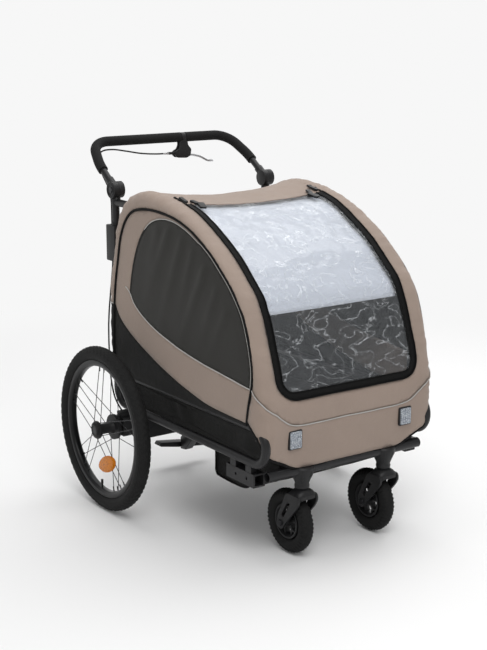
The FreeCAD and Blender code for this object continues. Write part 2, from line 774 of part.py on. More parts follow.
def hinge_half(name, side, out, low, high, turn):
    """Half of a round hinge: a disc and a collar that takes the tube above or below it."""
    x, y, z = side * dim("hoop_x"), dim("hinge_y"), dim("hinge_z")
    half = dim("knob_half")
    disc = rod_x(f"{name}_disc", dim("knob_radius"), half - 0.3, x + side * out * (half + 0.3) / 2, y, z)
    collar = rod(f"{name}_collar", 13.5, high - low, x, y, z, turn)
    step = turn.multVec(V(0, 0, 1)) * float(low)
    put(collar, x, y + step.y, z + step.z, turn)
    room = rod_x(f"{name}_room", dim("knob_radius") + 0.5, half + 0.3, x - side * out * half / 2, y, z)
    return fuse(f"{name}_joined", [disc, cut(f"{name}_neck", collar, room)])


def hinge_base(name, side):
    """The inner half, fixed on top of the upright."""
    turn = FreeCAD.Rotation(V(1, 0, 0), 180)
    whole = hinge_half(name, side, -1, 12, 48, turn)
    x, z = side * dim("hoop_x"), dim("hinge_z")
    tube_room = rod(f"{name}_tube_room", dim("hoop_tube"), 40, x, dim("hoop_y"), z - 28 - 40)
    return cut(name, whole, tube_room)


def hinge_head(name, side):
    """The outer half, fixed on the handle's arm, with a blind hole for its release button."""
    turn = FreeCAD.Rotation(V(1, 0, 0), float(dim("handle_angle")) - 90)
    whole = hinge_half(name, side, 1, 12, 46, turn)
    face = dim("hoop_x") + dim("knob_half")
    hole = rod_x(f"{name}_hole", dim("button_radius") + dim("button_gap"), 22, side * face,
                 dim("hinge_y"), dim("hinge_z"))
    step = turn.multVec(V(0, 0, 1)) * float(dim("arm_start"))
    arm = rod(f"{name}_arm_room", dim("handle_tube"), 40, side * dim("hoop_x"),
              dim("hinge_y") + step.y, dim("hinge_z") + step.z, turn)
    return cut(name, whole, fuse(f"{name}_rooms", [hole, arm]))


def tilt_button(name, side):
    middle = side * (dim("hoop_x") + dim("knob_half") - 2)
    return named(rod_x(name, dim("button_radius"), 8, middle, dim("hinge_y"), dim("hinge_z")), name)


def crossbar_place():
    angle = math.radians(float(dim("handle_angle")))
    reach = dim("arm_reach")
    return dim("hinge_y") + reach * math.cos(angle), dim("hinge_z") + reach * math.sin(angle)


def lever_clamp(name):
    """A band round the crossbar, its hanging body with a slot for the lever, and the cable's barrel."""
    y, z = crossbar_place()
    x, low = dim("clamp_x"), dim("lever_z")
    band = rod_x(f"{name}_band", 15, 15, x, y, z)
    neck = block(f"{name}_neck", x, y, low + 8, 18, 14, z - low - 20)
    head = block(f"{name}_head", x - 2, y, low - 9, 38, 22, 20)
    barrel = rod_x(f"{name}_barrel", 4.5, 34, x - 36, y, low + 4)
    whole = fuse(f"{name}_whole", [band, neck, head, barrel])
    bar = rod_x(f"{name}_bar_room", dim("handle_tube"), 30, x, y, z)
    slot = block(f"{name}_slot", x + 12, y, low - 12, 34, 10, 26)
    shell = cut(f"{name}_shell", whole, fuse(f"{name}_rooms", [bar, slot]))
    pin = rod_y(f"{name}_pin", 2.5, 22, x + 7, y, low)
    return named(fuse(name, [shell, pin]), name)


def brake_lever(name):
    """A curved blade that turns on the clamp's pin."""
    y = crossbar_place()[0]
    x = dim("clamp_x") + 7
    body = padded(name, "XZ_Plane", [
        (-7, -4), (-5, 5), (6, 6), (36, 5), (74, -6), (108, -22), (114, -30), (107, -33),
        (72, -14), (34, -4), (4, -6),
    ], 8)
    pocket(body, "XZ_Plane", lambda sketch: add_circle(sketch, (0, 0), 2.55), 20)
    return put(body, x, y, dim("lever_z"))


# ---- brake cable --------------------------------------------------------------------------

def cable(name, points):
    """A tube along straight runs joined by tangent arcs, each as large as its runs allow.

    It stops a little short of the next part of the cable at both its ends.
    """
    radius, gap = float(dim("cable_radius")), float(dim("cable_gap"))
    spots = [V(*p) for p in points]
    spots[0] += (spots[1] - spots[0]).normalize() * gap
    spots[-1] += (spots[-2] - spots[-1]).normalize() * gap
    edges, here = [], spots[0]
    length = 0
    for i in range(1, len(spots) - 1):
        before, corner, after = spots[i - 1], spots[i], spots[i + 1]
        into, out = (corner - before), (after - corner)
        short = min(into.Length, out.Length)
        turn = into.getAngle(out)
        reach = 0.45 * short
        into.normalize()
        out.normalize()
        start, end = corner - into * reach, corner + out * reach
        bow = (out - into).normalize()
        arc_radius = reach / math.tan(turn / 2)
        middle = corner + bow * (arc_radius / math.cos(turn / 2) - arc_radius)
        edges += [Part.LineSegment(here, start).toShape(), Part.Arc(start, middle, end).toShape()]
        length += (start - here).Length + arc_radius * turn
        here = end
        print(f"{name} arc {i}: radius {arc_radius:.0f}")
    edges.append(Part.LineSegment(here, spots[-1]).toShape())
    length += (spots[-1] - here).Length
    path = Part.Wire(edges)
    ring = Part.Wire(Part.makeCircle(radius, spots[0], spots[1] - spots[0]))
    solid = path.makePipeShell([ring], True, False)
    print(f"{name}: volume over section times length {solid.Volume / (math.pi * radius ** 2 * length):.4f}")
    return fixed_shape(name, solid)


BARREL_END = (24, 294, 1023)
HANDLE_CABLE = [
    BARREL_END, (-24, 294, 1024), (-78, 294, 1029), (-132, 293, 1039), (-182, 291, 1047),
    (-222, 284, 1045), (-250, 262, 1031), (-265, 232, 1011), (-273, 202, 990), (-276.5, 176, 970),
]
HINGE_CABLE = [
    HANDLE_CABLE[-1], (-276.5, 158, 952), (-276.5, 145, 932), (-276.5, 139, 908), (-276.5, 138, 880),
]
HOOP_CABLE = [
    HINGE_CABLE[-1], (-276.5, 138, 835), (-276.5, 138.2, 780), (-276.5, 138.6, 722), (-276.5, 146, 675),
    (-276.5, 157, 622), (-276.5, 167, 570), (-276.5, 173, 520),
]
AXLE_CABLE = [
    HOOP_CABLE[-1], (-276.5, 174, 470), (-279, 168, 422), (-286, 153, 378), (-294.5, 128, 340),
    (-302.5, 98, 310), (-307, 66, 290), (-309, 40, 278),
]


# ---- cabin --------------------------------------------------------------------------------

COVER_PROFILE = [
    (-671, 463), (-664, 498), (-648, 552), (-602, 678), (-528, 773), (-405, 864), (-219, 940),
    (-99, 960), (-37, 954), (15, 930), (58, 880), (84, 800), (93, 700), (93, 560),
]


INNER_POINTS = 13


def inner_curve(curve, inward):
    """A smooth curve a constant distance inside the given one."""
    first, last = curve.FirstParameter, curve.LastParameter
    points = []
    for i in range(INNER_POINTS + 1):
        at = first + (last - first) * i / INNER_POINTS
        along = curve.tangent(at)[0]
        points.append(curve.value(at) + V(inward, along.z * inward, -along.y * inward))
    inner = Part.BSplineCurve()
    inner.interpolate(points)
    return inner


def cabin_solid(inward):
    """The cabin's outside, or the same shape a wall's thickness inside it, running down past the rails."""
    whole, low = float(dim("cover_half")), 380
    curve = Part.BSplineCurve()
    curve.interpolate([V(-whole, y, z) for y, z in COVER_PROFILE])
    if inward:
        curve = inner_curve(curve, inward)
    half = whole - inward
    front, rear = curve.value(curve.FirstParameter), curve.value(curve.LastParameter)
    corners = [rear, V(-half, rear.y, low), V(-half, front.y, low), front]
    edges = [curve.toShape()]
    edges += [Part.LineSegment(a, b).toShape() for a, b in zip(corners, corners[1:])]
    solid = Part.Face(Part.Wire(edges)).extrude(V(2 * half, 0, 0))
    edge = float(dim("cover_edge")) - inward
    long_sides = [
        e for e in solid.Edges
        if abs(abs(e.BoundBox.XMin) - half) < 0.01 and abs(e.BoundBox.XLength) < 0.01
        and e.BoundBox.ZMax > 420
    ]
    return solid.makeFillet(edge, long_sides)


def prism_x(points, half):
    """A prism right across the cabin from a smooth side outline."""
    curve = Part.BSplineCurve()
    curve.interpolate([V(-half, y, z) for y, z in points], PeriodicFlag=True)
    return Part.Face(Part.Wire(curve.toShape())).extrude(V(2 * half, 0, 0))


def front_region(half, top_y, low_z, radius):
    """Everything ahead of the roof's window edge and within its sides, with round lower corners."""
    solid = Part.makeBox(2 * half, 700 + top_y, 700, V(-half, -700, low_z))
    corners = [
        e for e in solid.Edges
        if e.BoundBox.YLength > 10 and abs(e.BoundBox.ZMin - low_z) < 0.01 and e.BoundBox.ZLength < 0.01
    ]
    return solid.makeFillet(radius, corners)


SIDE_WINDOW = [
    (-12, 664), (-66, 800), (-150, 886), (-255, 893), (-390, 832), (-520, 715), (-592, 590),
    (-590, 512), (-470, 510), (-340, 527), (-200, 556), (-80, 600),
]


def skin_pieces():
    """The fabric cover, its side windows, the front window's border and the window itself."""
    wall = float(dim("cover_wall"))
    low = float(dim("cover_low"))
    skin = cabin_solid(0).cut(cabin_solid(wall))
    skin = skin.cut(Part.makeBox(800, 1000, low, V(-400, -800, 0)))
    above_panel = Part.makeBox(560, 60, 463 - low + 0.4, V(-280, -700, low - 0.2))
    skin = skin.cut(above_panel)
    half, border = float(dim("window_half")), float(dim("border"))
    whole_front = front_region(half, -215, 466, 60)
    clear_front = front_region(half - border, -215 - border, 466 + border, 40)
    windows = prism_x(SIDE_WINDOW, 320)
    stub = float(dim("hoop_tube")) + 0.6
    for _, side in SIDES:
        start = V(side * float(dim("hoop_x")), float(dim("roof_front")) - 5, float(dim("roof_z")))
        skin = skin.cut(Part.makeCylinder(stub, 200, start, V(0, 1, 0)))
    front = skin.common(whole_front)
    cover = skin.cut(whole_front).cut(windows)
    return {
        "fabric_cover": cover,
        "side_windows": skin.cut(whole_front).common(windows),
        "window_border": front.cut(clear_front),
        "front_window": front.common(clear_front),
    }


def sunshade(name):
    """A thin blind behind the upper half of the front window."""
    sheet_shape = cabin_solid(8).cut(cabin_solid(10))
    region = Part.makeBox(470, 424, 300, V(-235, -660, 686))
    return fixed_shape(name, sheet_shape.common(region))


def front_panel(name):
    """The panel below the window, cut away at its lower corners for the loops' noses."""
    outline = [
        (-185, 268), (185, 268), (258, 306), (267, 330), (267, 402), (280, 420), (280, 462),
        (-280, 462), (-280, 420), (-267, 402), (-267, 330), (-258, 306),
    ]
    return put(padded(name, "XZ_Plane", outline, dim("panel_wall")), 0, dim("panel_y"), 0)


def front_reflectors(name):
    face = dim("panel_y") - dim("panel_wall") / 2
    made = [block(f"{name}_{word}", side * 191, face - 4, 333, 36, 7, 44) for word, side in SIDES]
    return named(group(name, made), name)


def side_panels(name):
    """Black cloth that fills each side loop."""
    front, rear = dim("loop_front"), dim("loop_rear")
    middle = dim("loop_middle")
    made = []
    for word, side in SIDES:
        outline = [
            (front, middle - 36), (rear, middle - 36), (rear + 28, middle - 18), (rear + 28, middle + 18),
            (rear, middle + 36), (front, middle + 36), (front - 28, middle + 18), (front - 28, middle - 18),
        ]
        made.append(put(padded(f"{name}_{word}", "YZ_Plane", outline, 4), side * (dim("loop_x") + 2)))
    return named(group(name, made), name)


def footwell(name):
    """An open-topped bag for the passengers' feet, higher at the front to clear the casters."""
    half = dim("footwell_half")
    outside = [(-300, 155), (-300, 300), (-612, 300), (-612, 218), (-505, 204), (-470, 155)]
    inside = [(-304, 159), (-304, 310), (-608, 310), (-608, 222), (-503, 208), (-468, 159)]
    body = padded(name, "YZ_Plane", outside, half * 2)
    pocket(body, "YZ_Plane", lambda sketch: add_polygon(sketch, inside), half * 2 - 8)
    return put(body)


def floor_panel(name):
    return named(block(name, 0, -118, 304, 530, 356, 6), name)


def seat_cushion(name):
    whole = block(f"{name}_block", 0, -130, 311, 456, 320, 58)
    soft = doc.addObject("Part::Fillet", name)
    soft.Base = whole
    doc.recompute()
    soft.Edges = [(i + 1, 14, 14) for i in range(len(whole.Shape.Edges))]
    return named(soft, name)


def seat_back(name):
    return put(padded(name, "YZ_Plane", [(-2, 374), (18, 372), (68, 800), (48, 806)], 440))


def harness(name):
    """Two shoulder straps and a buckle for each of the two seats."""
    lean = FreeCAD.Rotation(V(1, 0, 0), -6.7)
    made = []
    for word, side in SIDES:
        for number, step in enumerate((-1, 1)):
            strap = primitive("Box", f"{name}_{word}_{number}", Length=25, Width=2, Height=330)
            made.append(put(strap, side * 115 + step * 50 - 12.5, -4, 400, lean))
        made.append(block(f"{name}_{word}_buckle", side * 115, -60, 370, 48, 34, 14))
    return named(group(name, made), name)


# ---- the whole trailer --------------------------------------------------------------------

def paired(label, make):
    """Both sides of a piece in one node."""
    return named(group(label, both(f"{label}_one", make)), label)


def all_parts():
    parts = []
    for label, make in (
        ("rear_tyre", rear_tyre), ("rear_rim", rear_rim), ("rear_hub", rear_hub),
        ("rear_spokes", rear_spokes), ("spoke_reflector", spoke_reflector),
        ("wheel_button", wheel_button), ("caster_fork", caster_fork), ("caster_tyre", caster_tyre),
        ("caster_core", caster_core), ("caster_axle", caster_axle), ("parking_pin", parking_pin),
        ("fold_latch", fold_latch), ("tilt_button", tilt_button),
    ):
        parts += both(label, make)
    for label, make in (
        ("side_loops", side_loop), ("tow_sockets", hung_socket), ("hoop_uprights", hoop_upright),
        ("caster_housings", caster_housing), ("axle_brackets", axle_bracket),
        ("hinge_bases", hinge_base), ("hinge_heads", hinge_head), ("handle_grips", grip),
    ):
        parts.append(paired(label, make))
    for label, make in (
        ("front_tube", front_tube), ("axle_beam", axle_beam), ("parking_pedal", parking_pedal),
        ("fold_pivots", fold_pivots), ("hoop_rails", hoop_rails),
        ("front_arches", front_arches), ("handlebar", handlebar), ("lever_clamp", lever_clamp),
        ("brake_lever", brake_lever), ("sunshade", sunshade), ("front_panel", front_panel),
        ("front_reflectors", front_reflectors), ("side_panels", side_panels), ("footwell", footwell),
        ("floor_panel", floor_panel), ("seat_cushion", seat_cushion), ("seat_back", seat_back),
        ("harness", harness),
    ):
        parts.append(make(label))
    for label, route in (
        ("handle_cable", HANDLE_CABLE), ("hinge_cable", HINGE_CABLE), ("hoop_cable", HOOP_CABLE),
        ("axle_cable", AXLE_CABLE),
    ):
        parts.append(cable(label, route))
    for label, shape in skin_pieces().items():
        parts.append(fixed_shape(label, shape))
    return parts


def check_and_write(parts):
    doc.recompute()
    failed = [o.Name for o in doc.Objects if "Invalid" in o.State or "Error" in o.State]
    if failed:
        raise RuntimeError(f"objects that failed: {failed}")
    for part in parts:
        if part.Shape.isNull() or not part.Shape.isValid() or not part.Shape.Solids:
            raise RuntimeError(f"{part.Label} has no valid solid")
    os.makedirs("parts", exist_ok=True)
    for part in parts:
        part.Shape.exportStep(f"parts/{part.Label}.step")
    print(f"{len(parts)} nodes written")


check_and_write(all_parts())
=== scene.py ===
import json
import math

import bmesh
import bpy
import numpy as np
from mathutils import Matrix, Vector, geometry, noise


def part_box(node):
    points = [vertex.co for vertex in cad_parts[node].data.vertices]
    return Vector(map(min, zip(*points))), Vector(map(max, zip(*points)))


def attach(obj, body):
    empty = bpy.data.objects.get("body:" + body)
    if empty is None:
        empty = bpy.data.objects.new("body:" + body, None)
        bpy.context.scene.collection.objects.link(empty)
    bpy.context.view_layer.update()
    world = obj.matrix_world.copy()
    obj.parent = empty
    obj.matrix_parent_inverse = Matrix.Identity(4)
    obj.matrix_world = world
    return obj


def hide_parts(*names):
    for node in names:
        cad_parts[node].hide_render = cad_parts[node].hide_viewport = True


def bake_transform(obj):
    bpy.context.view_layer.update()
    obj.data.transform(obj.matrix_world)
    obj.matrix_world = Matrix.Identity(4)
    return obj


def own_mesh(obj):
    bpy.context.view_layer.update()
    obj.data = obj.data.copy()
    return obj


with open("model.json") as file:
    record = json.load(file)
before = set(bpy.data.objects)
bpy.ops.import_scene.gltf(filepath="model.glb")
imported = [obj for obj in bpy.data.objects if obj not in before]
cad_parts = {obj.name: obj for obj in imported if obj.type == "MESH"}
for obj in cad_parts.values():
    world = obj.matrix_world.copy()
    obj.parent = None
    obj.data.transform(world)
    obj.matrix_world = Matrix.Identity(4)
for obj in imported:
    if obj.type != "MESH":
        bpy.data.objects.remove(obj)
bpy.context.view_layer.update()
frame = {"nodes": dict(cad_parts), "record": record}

# The trailer runs from its front (-Y) to its rear (+Y). Lengths here are in metres, and y is
# counted from the rear axle, as in the CAD source.


def middle(node):
    low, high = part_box(node)
    return (low + high) / 2


AXLE = middle("rear_rim_left")
AXLE_Y = AXLE.y
WHEEL_X = abs(AXLE.x)
WHEEL_R = (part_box("rear_tyre_left")[1].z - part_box("rear_tyre_left")[0].z) / 2
SIDES = (("left", -1), ("right", 1))


def at(x, y, z):
    return Vector((x, y + AXLE_Y, z))


# ---- materials ----------------------------------------------------------------------------

def srgb(red, green, blue):
    """Linear colour of a display colour given as 0 to 255."""
    def one(c):
        c /= 255
        return c / 12.92 if c <= 0.04045 else ((c + 0.055) / 1.055) ** 2.4
    return (one(red), one(green), one(blue), 1)


class Nodes:
    """A material's node tree with short ways to add what this scene needs."""

    def __init__(self, name):
        self.material = bpy.data.materials.new(name)
        self.material.use_nodes = True
        self.tree = self.material.node_tree
        self.shader = self.tree.nodes["Principled BSDF"]
        self.place = self.add("ShaderNodeTexCoord").outputs["Object"]
        self.bumps = None

    def add(self, kind, **values):
        node = self.tree.nodes.new(kind)
        for key, value in values.items():
            if hasattr(node, key):
                setattr(node, key, value)
            else:
                node.inputs[key].default_value = value
        return node

    def link(self, source, target):
        self.tree.links.new(source, target)

    def noise(self, scale, detail=3.0, roughness=0.5, distortion=0.0, stretch=None):
        node = self.add("ShaderNodeTexNoise", Scale=scale, Detail=detail, Roughness=roughness,
                        Distortion=distortion)
        place = self.place
        if stretch:
            mapping = self.add("ShaderNodeMapping")
            mapping.inputs["Scale"].default_value = stretch
            self.link(self.place, mapping.inputs["Vector"])
            place = mapping.outputs["Vector"]
        self.link(place, node.inputs["Vector"])
        return node.outputs["Fac"]

    def wave(self, direction, period):
        node = self.add("ShaderNodeTexWave", bands_direction=direction,
                        Scale=math.pi / (10 * period), Distortion=0.35)
        node.inputs["Detail Scale"].default_value = 3
        self.link(self.place, node.inputs["Vector"])
        return node.outputs["Fac"]

    def math(self, operation, a, b=None):
        node = self.add("ShaderNodeMath", operation=operation)
        for socket, value in zip(node.inputs, (a, b)):
            if value is None:
                continue
            if isinstance(value, (int, float)):
                socket.default_value = value
            else:
                self.link(value, socket)
        return node.outputs[0]

    def ramp(self, fac, stops):
        node = self.add("ShaderNodeValToRGB")
        for _ in range(len(stops) - 2):
            node.color_ramp.elements.new(0.5)
        for element, (position, colour) in zip(node.color_ramp.elements, stops):
            element.position = position
            element.color = colour
        self.link(fac, node.inputs["Fac"])
        return node.outputs["Color"]

    def span(self, fac, low, high):
        node = self.add("ShaderNodeMapRange")
        node.inputs["To Min"].default_value = low
        node.inputs["To Max"].default_value = high
        self.link(fac, node.inputs["Value"])
        return node.outputs["Result"]

    def bump(self, height, strength, distance):
        node = self.add("ShaderNodeBump", Strength=strength, Distance=distance)
        self.link(height, node.inputs["Height"])
        if self.bumps is not None:
            self.link(self.bumps, node.inputs["Normal"])
        self.bumps = node.outputs["Normal"]
        self.link(self.bumps, self.shader.inputs["Normal"])

    def colour(self, output):
        self.link(output, self.shader.inputs["Base Color"])

    def roughness(self, output):
        self.link(output, self.shader.inputs["Roughness"])

    def set(self, **values):
        for key, value in values.items():
            self.shader.inputs[key.replace("_", " ")].default_value = value


def shade(colour, factor):
    return tuple(min(1.0, c * factor) for c in colour[:3]) + (1,)


def cloth(name, colour, period=0.0011, rough=(0.62, 0.82), weave=0.35, crinkle=0.25, mottle=0.1,
          sheen=0.12, specular=0.3):
    """Woven cloth: warp and weft, a heathered colour, and small creases."""
    n = Nodes(name)
    threads = n.math("ADD", n.math("ADD", n.wave("X", period), n.wave("Y", period)), n.wave("Z", period))
    fibre = n.noise(700, 2)
    large = n.noise(7, 4, 0.6)
    tone = n.math("ADD", n.math("MULTIPLY", large, 0.6), n.math("MULTIPLY", fibre, 0.4))
    dark, light = shade(colour, 1 - mottle), shade(colour, 1 + mottle)
    n.colour(n.ramp(tone, [(0.3, dark), (0.52, colour), (0.72, light)]))
    n.roughness(n.span(large, *rough))
    n.bump(n.noise(26, 5, 0.62, 1.2), crinkle, 0.004)
    n.bump(threads, weave, 0.0003)
    n.set(Sheen_Weight=sheen, Sheen_Roughness=0.5, Specular_IOR_Level=specular)
    return n.material


def plastic(name, colour, rough=(0.38, 0.55), grain=0.15, scale=900, specular=0.3):
    """Moulded plastic with a fine spark-eroded grain and slight scuffs."""
    n = Nodes(name)
    cloud = n.noise(14, 5, 0.65)
    scuff = n.noise(60, 6, 0.7, 0.8)
    n.colour(n.ramp(cloud, [(0.3, shade(colour, 0.88)), (0.7, shade(colour, 1.14))]))
    n.roughness(n.span(scuff, *rough))
    n.bump(n.noise(scale, 2), grain, 0.0003)
    n.set(Specular_IOR_Level=specular)
    return n.material


def painted(name, colour, rough=(0.32, 0.46), metallic=0.25):
    """Powder coat: orange peel, faint cloudiness and edges rubbed a little brighter."""
    n = Nodes(name)
    cloud = n.noise(18, 4, 0.6)
    body = n.ramp(cloud, [(0.3, shade(colour, 0.88)), (0.7, shade(colour, 1.15))])
    edge = n.add("ShaderNodeNewGeometry").outputs["Pointiness"]
    rub = n.math("MULTIPLY", n.span(edge, -5.0, 6.0), n.noise(45, 5, 0.7))
    rub_mask = n.math("MULTIPLY", n.math("GREATER_THAN", rub, 0.72), 0.25)
    mix = n.add("ShaderNodeMix", data_type="RGBA")
    n.link(rub_mask, mix.inputs["Factor"])
    n.link(body, mix.inputs[6])
    mix.inputs[7].default_value = shade(colour, 2.4)
    n.colour(mix.outputs[2])
    n.roughness(n.span(n.noise(70, 5, 0.7), *rough))
    n.bump(n.noise(420, 2), 0.12, 0.0004)
    n.set(Metallic=metallic, Specular_IOR_Level=0.3)
    return n.material


def metal(name, colour, rough=(0.2, 0.34), brushed=(1, 1, 1)):
    n = Nodes(name)
    lines = n.noise(260, 3, 0.6, stretch=brushed)
    n.colour(n.ramp(lines, [(0.3, shade(colour, 0.85)), (0.7, shade(colour, 1.1))]))
    n.roughness(n.span(n.noise(40, 5, 0.7), *rough))
    n.bump(lines, 0.06, 0.0003)
    n.set(Metallic=1.0)
    return n.material


def rubber(name, colour, rough=(0.62, 0.85), grain=0.3):
    """Tyre rubber, dusty in places."""
    n = Nodes(name)
    dust = n.noise(22, 6, 0.7)
    n.colour(n.ramp(dust, [(0.35, colour), (0.62, shade(colour, 1.35)), (0.8, shade(colour, 2.0))]))
    n.roughness(n.span(dust, *rough))
    n.bump(n.noise(500, 3), grain, 0.0004)
    n.set(Specular_IOR_Level=0.18)
    return n.material


def film(name):
    """Clear soft PVC: see-through and glossy, with a little haze, painted highlights along its crumples and a
    painted reflection that rises towards grazing angles.
    """
    n = Nodes(name)
    crumple = n.noise(13, 3, 0.5, 1.1, stretch=(1.0, 1.0, 1.6))
    ridge = n.math("ABSOLUTE", n.math("SUBTRACT", crumple, 0.5))
    crease = n.math("POWER", n.math("SUBTRACT", 1.0, n.math("MULTIPLY", ridge, 9.0)), 9.0)
    facing = n.add("ShaderNodeLayerWeight", Blend=0.3).outputs["Facing"]
    # Opacity rising towards grazing angles is a painted reflection; the small constant part is the film's own
    # haze.
    haze_and_painted_reflection = n.math("ADD", n.math("MULTIPLY", facing, 0.14), 0.08)
    # Creases are painted lighter and more opaque: painted highlights along the crumples.
    n.link(n.math("ADD", haze_and_painted_reflection, n.span(crease, 0.0, 0.16)), n.shader.inputs["Alpha"])
    n.colour(n.ramp(crease, [(0.2, srgb(150, 154, 158)), (0.8, srgb(232, 236, 240))]))
    n.bump(n.noise(30, 3, 0.6, 1.5), 0.12, 0.004)
    n.set(Roughness=0.06, IOR=2.3)
    return n.material


def lens(name, colour, glow):
    """A prismatic reflector: rows of small facets under a clear face, with a painted glint at each facet's
    middle.
    """
    n = Nodes(name)
    cells = n.add("ShaderNodeTexVoronoi", Scale=330)
    n.link(n.place, cells.inputs["Vector"])
    # The glow colour is a painted highlight at each facet's middle; the colour goes darker towards the facet's
    # edges.
    n.colour(n.ramp(cells.outputs["Distance"], [(0.05, glow), (0.45, colour), (0.8, shade(colour, 0.6))]))
    n.bump(cells.outputs["Distance"], 0.6, 0.001)
    n.roughness(n.span(n.noise(120), 0.12, 0.25))
    n.set(Coat_Weight=0.1, Coat_Roughness=0.08, Specular_IOR_Level=0.15)
    return n.material


TAUPE = cloth("taupe_polyester", srgb(148, 132, 121), crinkle=0.4, mottle=0.07)
BLACK_CLOTH = cloth("black_polyester", srgb(19, 19, 18), mottle=0.25, crinkle=0.6, sheen=0.02, specular=0.2)
DARK_MESH = cloth("dark_window_mesh", srgb(41, 40, 37), period=0.0016, rough=(0.5, 0.66), mottle=0.12,
                  crinkle=0.1, weave=0.2, sheen=0.0, specular=0.25)
SILVER_CLOTH = cloth("silver_coated_cloth", srgb(203, 209, 220), rough=(0.35, 0.5), mottle=0.03,
                     crinkle=0.35, weave=0.15)
SEAT_CLOTH = cloth("seat_polyester", srgb(62, 62, 62), mottle=0.2, crinkle=0.5, sheen=0.05)
WEBBING = cloth("woven_webbing", srgb(20, 20, 20), period=0.0024, weave=0.7, mottle=0.2, sheen=0.02,
                specular=0.2)
BINDING = cloth("binding_tape", srgb(14, 14, 14), period=0.0018, weave=0.6, mottle=0.2, sheen=0.0,
                specular=0.15)
REFLECTIVE = cloth("reflective_tape", srgb(176, 174, 170), rough=(0.3, 0.45), mottle=0.08, weave=0.25)
PVC = film("clear_pvc")
FRAME_PAINT = painted("satin_frame_paint", srgb(30, 30, 31), metallic=0.1)
BLACK_PLASTIC = plastic("black_moulded_plastic", srgb(27, 27, 28))
GREY_PLASTIC = plastic("dark_grey_button", srgb(48, 48, 50))
FOAM = rubber("grip_foam", srgb(24, 24, 24), rough=(0.75, 0.9), grain=0.6)
TYRE = rubber("tyre_rubber", srgb(24, 24, 24))
CASTER_RUBBER = rubber("caster_rubber", srgb(22, 22, 22))
RIM = painted("black_anodised_rim", srgb(22, 22, 23), rough=(0.25, 0.35), metallic=0.3)
STEEL = metal("spoke_steel", srgb(62, 62, 64))
BOLT = metal("bolt_steel", srgb(50, 50, 52), rough=(0.35, 0.5))
POLISHED = metal("polished_alloy", srgb(200, 200, 202), rough=(0.15, 0.28))
SHEATH = plastic("cable_sheath", srgb(15, 15, 15), rough=(0.4, 0.55), grain=0.05)
# The third colour of each lens is its painted glint.
ORANGE_LENS = lens("orange_lens", srgb(210, 122, 0), srgb(218, 132, 0))
SILVER_LENS = lens("silver_lens", srgb(150, 156, 164), srgb(232, 236, 240))

SLOT_MATERIALS = {
    "tyre": TYRE, "rim": RIM, "spoke_steel": STEEL, "hub_plastic": BLACK_PLASTIC,
    "orange_lens": ORANGE_LENS, "button_plastic": GREY_PLASTIC, "caster_plastic": BLACK_PLASTIC,
    "caster_rubber": CASTER_RUBBER, "bolt_steel": BOLT, "frame_tube": FRAME_PAINT,
    "black_cloth": BLACK_CLOTH, "taupe_cloth": TAUPE, "window_cloth": DARK_MESH, "zip_tape": BINDING,
    "clear_film": PVC, "shade_cloth": SILVER_CLOTH, "seat_cloth": SEAT_CLOTH, "webbing": WEBBING,
    "silver_lens": SILVER_LENS, "foam": FOAM, "lever_metal": POLISHED, "cable_sheath": SHEATH,
}


# ---- making pieces ------------------------------------------------------------------------

def smooth_faces(obj, angle=None):
    for polygon in obj.data.polygons:
        polygon.use_smooth = True
    if angle is not None:
        obj.data.set_sharp_from_angle(angle=math.radians(angle))


def piece(name, points, faces, slot, body="chassis", material=None, sharp=None):
    """A mesh piece in the row frame that rides on a body."""
    mesh = bpy.data.meshes.new(name)
    mesh.from_pydata([tuple(p) for p in points], [], [tuple(f) for f in faces])
    mesh.validate()
    obj = bpy.data.objects.new(name, mesh)
    bpy.context.scene.collection.objects.link(obj)
    mesh.materials.append(material or SLOT_MATERIALS[slot])
    smooth_faces(obj, sharp)
    if body:
        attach(obj, body)
    return obj


def from_bmesh(name, bm, slot, body="chassis", material=None, sharp=35):
    bmesh.ops.recalc_face_normals(bm, faces=bm.faces)
    bm.verts.index_update()
    points = [v.co.copy() for v in bm.verts]
    faces = [[v.index for v in f.verts] for f in bm.faces]
    bm.free()
    return piece(name, points, faces, slot, body, material, sharp)


def apply_modifiers(obj):
    """Replaces an object's mesh by what its modifiers make of it."""
    graph = bpy.context.evaluated_depsgraph_get()
    made = bpy.data.meshes.new_from_object(obj.evaluated_get(graph))
    obj.modifiers.clear()
    obj.data = made


def thicken(obj, thickness, offset=-1.0):
    modifier = obj.modifiers.new("thickness", "SOLIDIFY")
    modifier.thickness = thickness
    modifier.offset = offset
    modifier.use_even_offset = False
    apply_modifiers(obj)
    return obj


def smooth_line(points, count):
    """Evenly spaced points on a smooth line through the given ones, in any dimension."""
    pts = np.array(points, float)
    if len(pts) < 3:
        fine = pts
    else:
        ends = np.vstack([2 * pts[0] - pts[1], pts, 2 * pts[-1] - pts[-2]])
        fine = []
        for i in range(len(pts) - 1):
            p0, p1, p2, p3 = ends[i:i + 4]
            t = np.linspace(0, 1, 24, endpoint=False)[:, None]
            length = [max(1e-6, np.linalg.norm(b - a)) ** 0.5 for a, b in ((p0, p1), (p1, p2), (p2, p3))]
            m1 = (p2 - p1) + length[1] * ((p1 - p0) / length[0] - (p2 - p0) / (length[0] + length[1]))
            m2 = (p2 - p1) + length[1] * ((p3 - p2) / length[2] - (p3 - p1) / (length[1] + length[2]))
            a, b = 2 * (p1 - p2) + m1 + m2, -3 * (p1 - p2) - 2 * m1 - m2
            fine.append(((a * t + b) * t + m1) * t + p1)
        fine = np.vstack(fine + [pts[-1:]])
    steps = np.concatenate([[0], np.cumsum(np.linalg.norm(np.diff(fine, axis=0), axis=1))])
    where = np.linspace(0, steps[-1], count)
    return np.stack([np.interp(where, steps, fine[:, k]) for k in range(pts.shape[1])], axis=1)


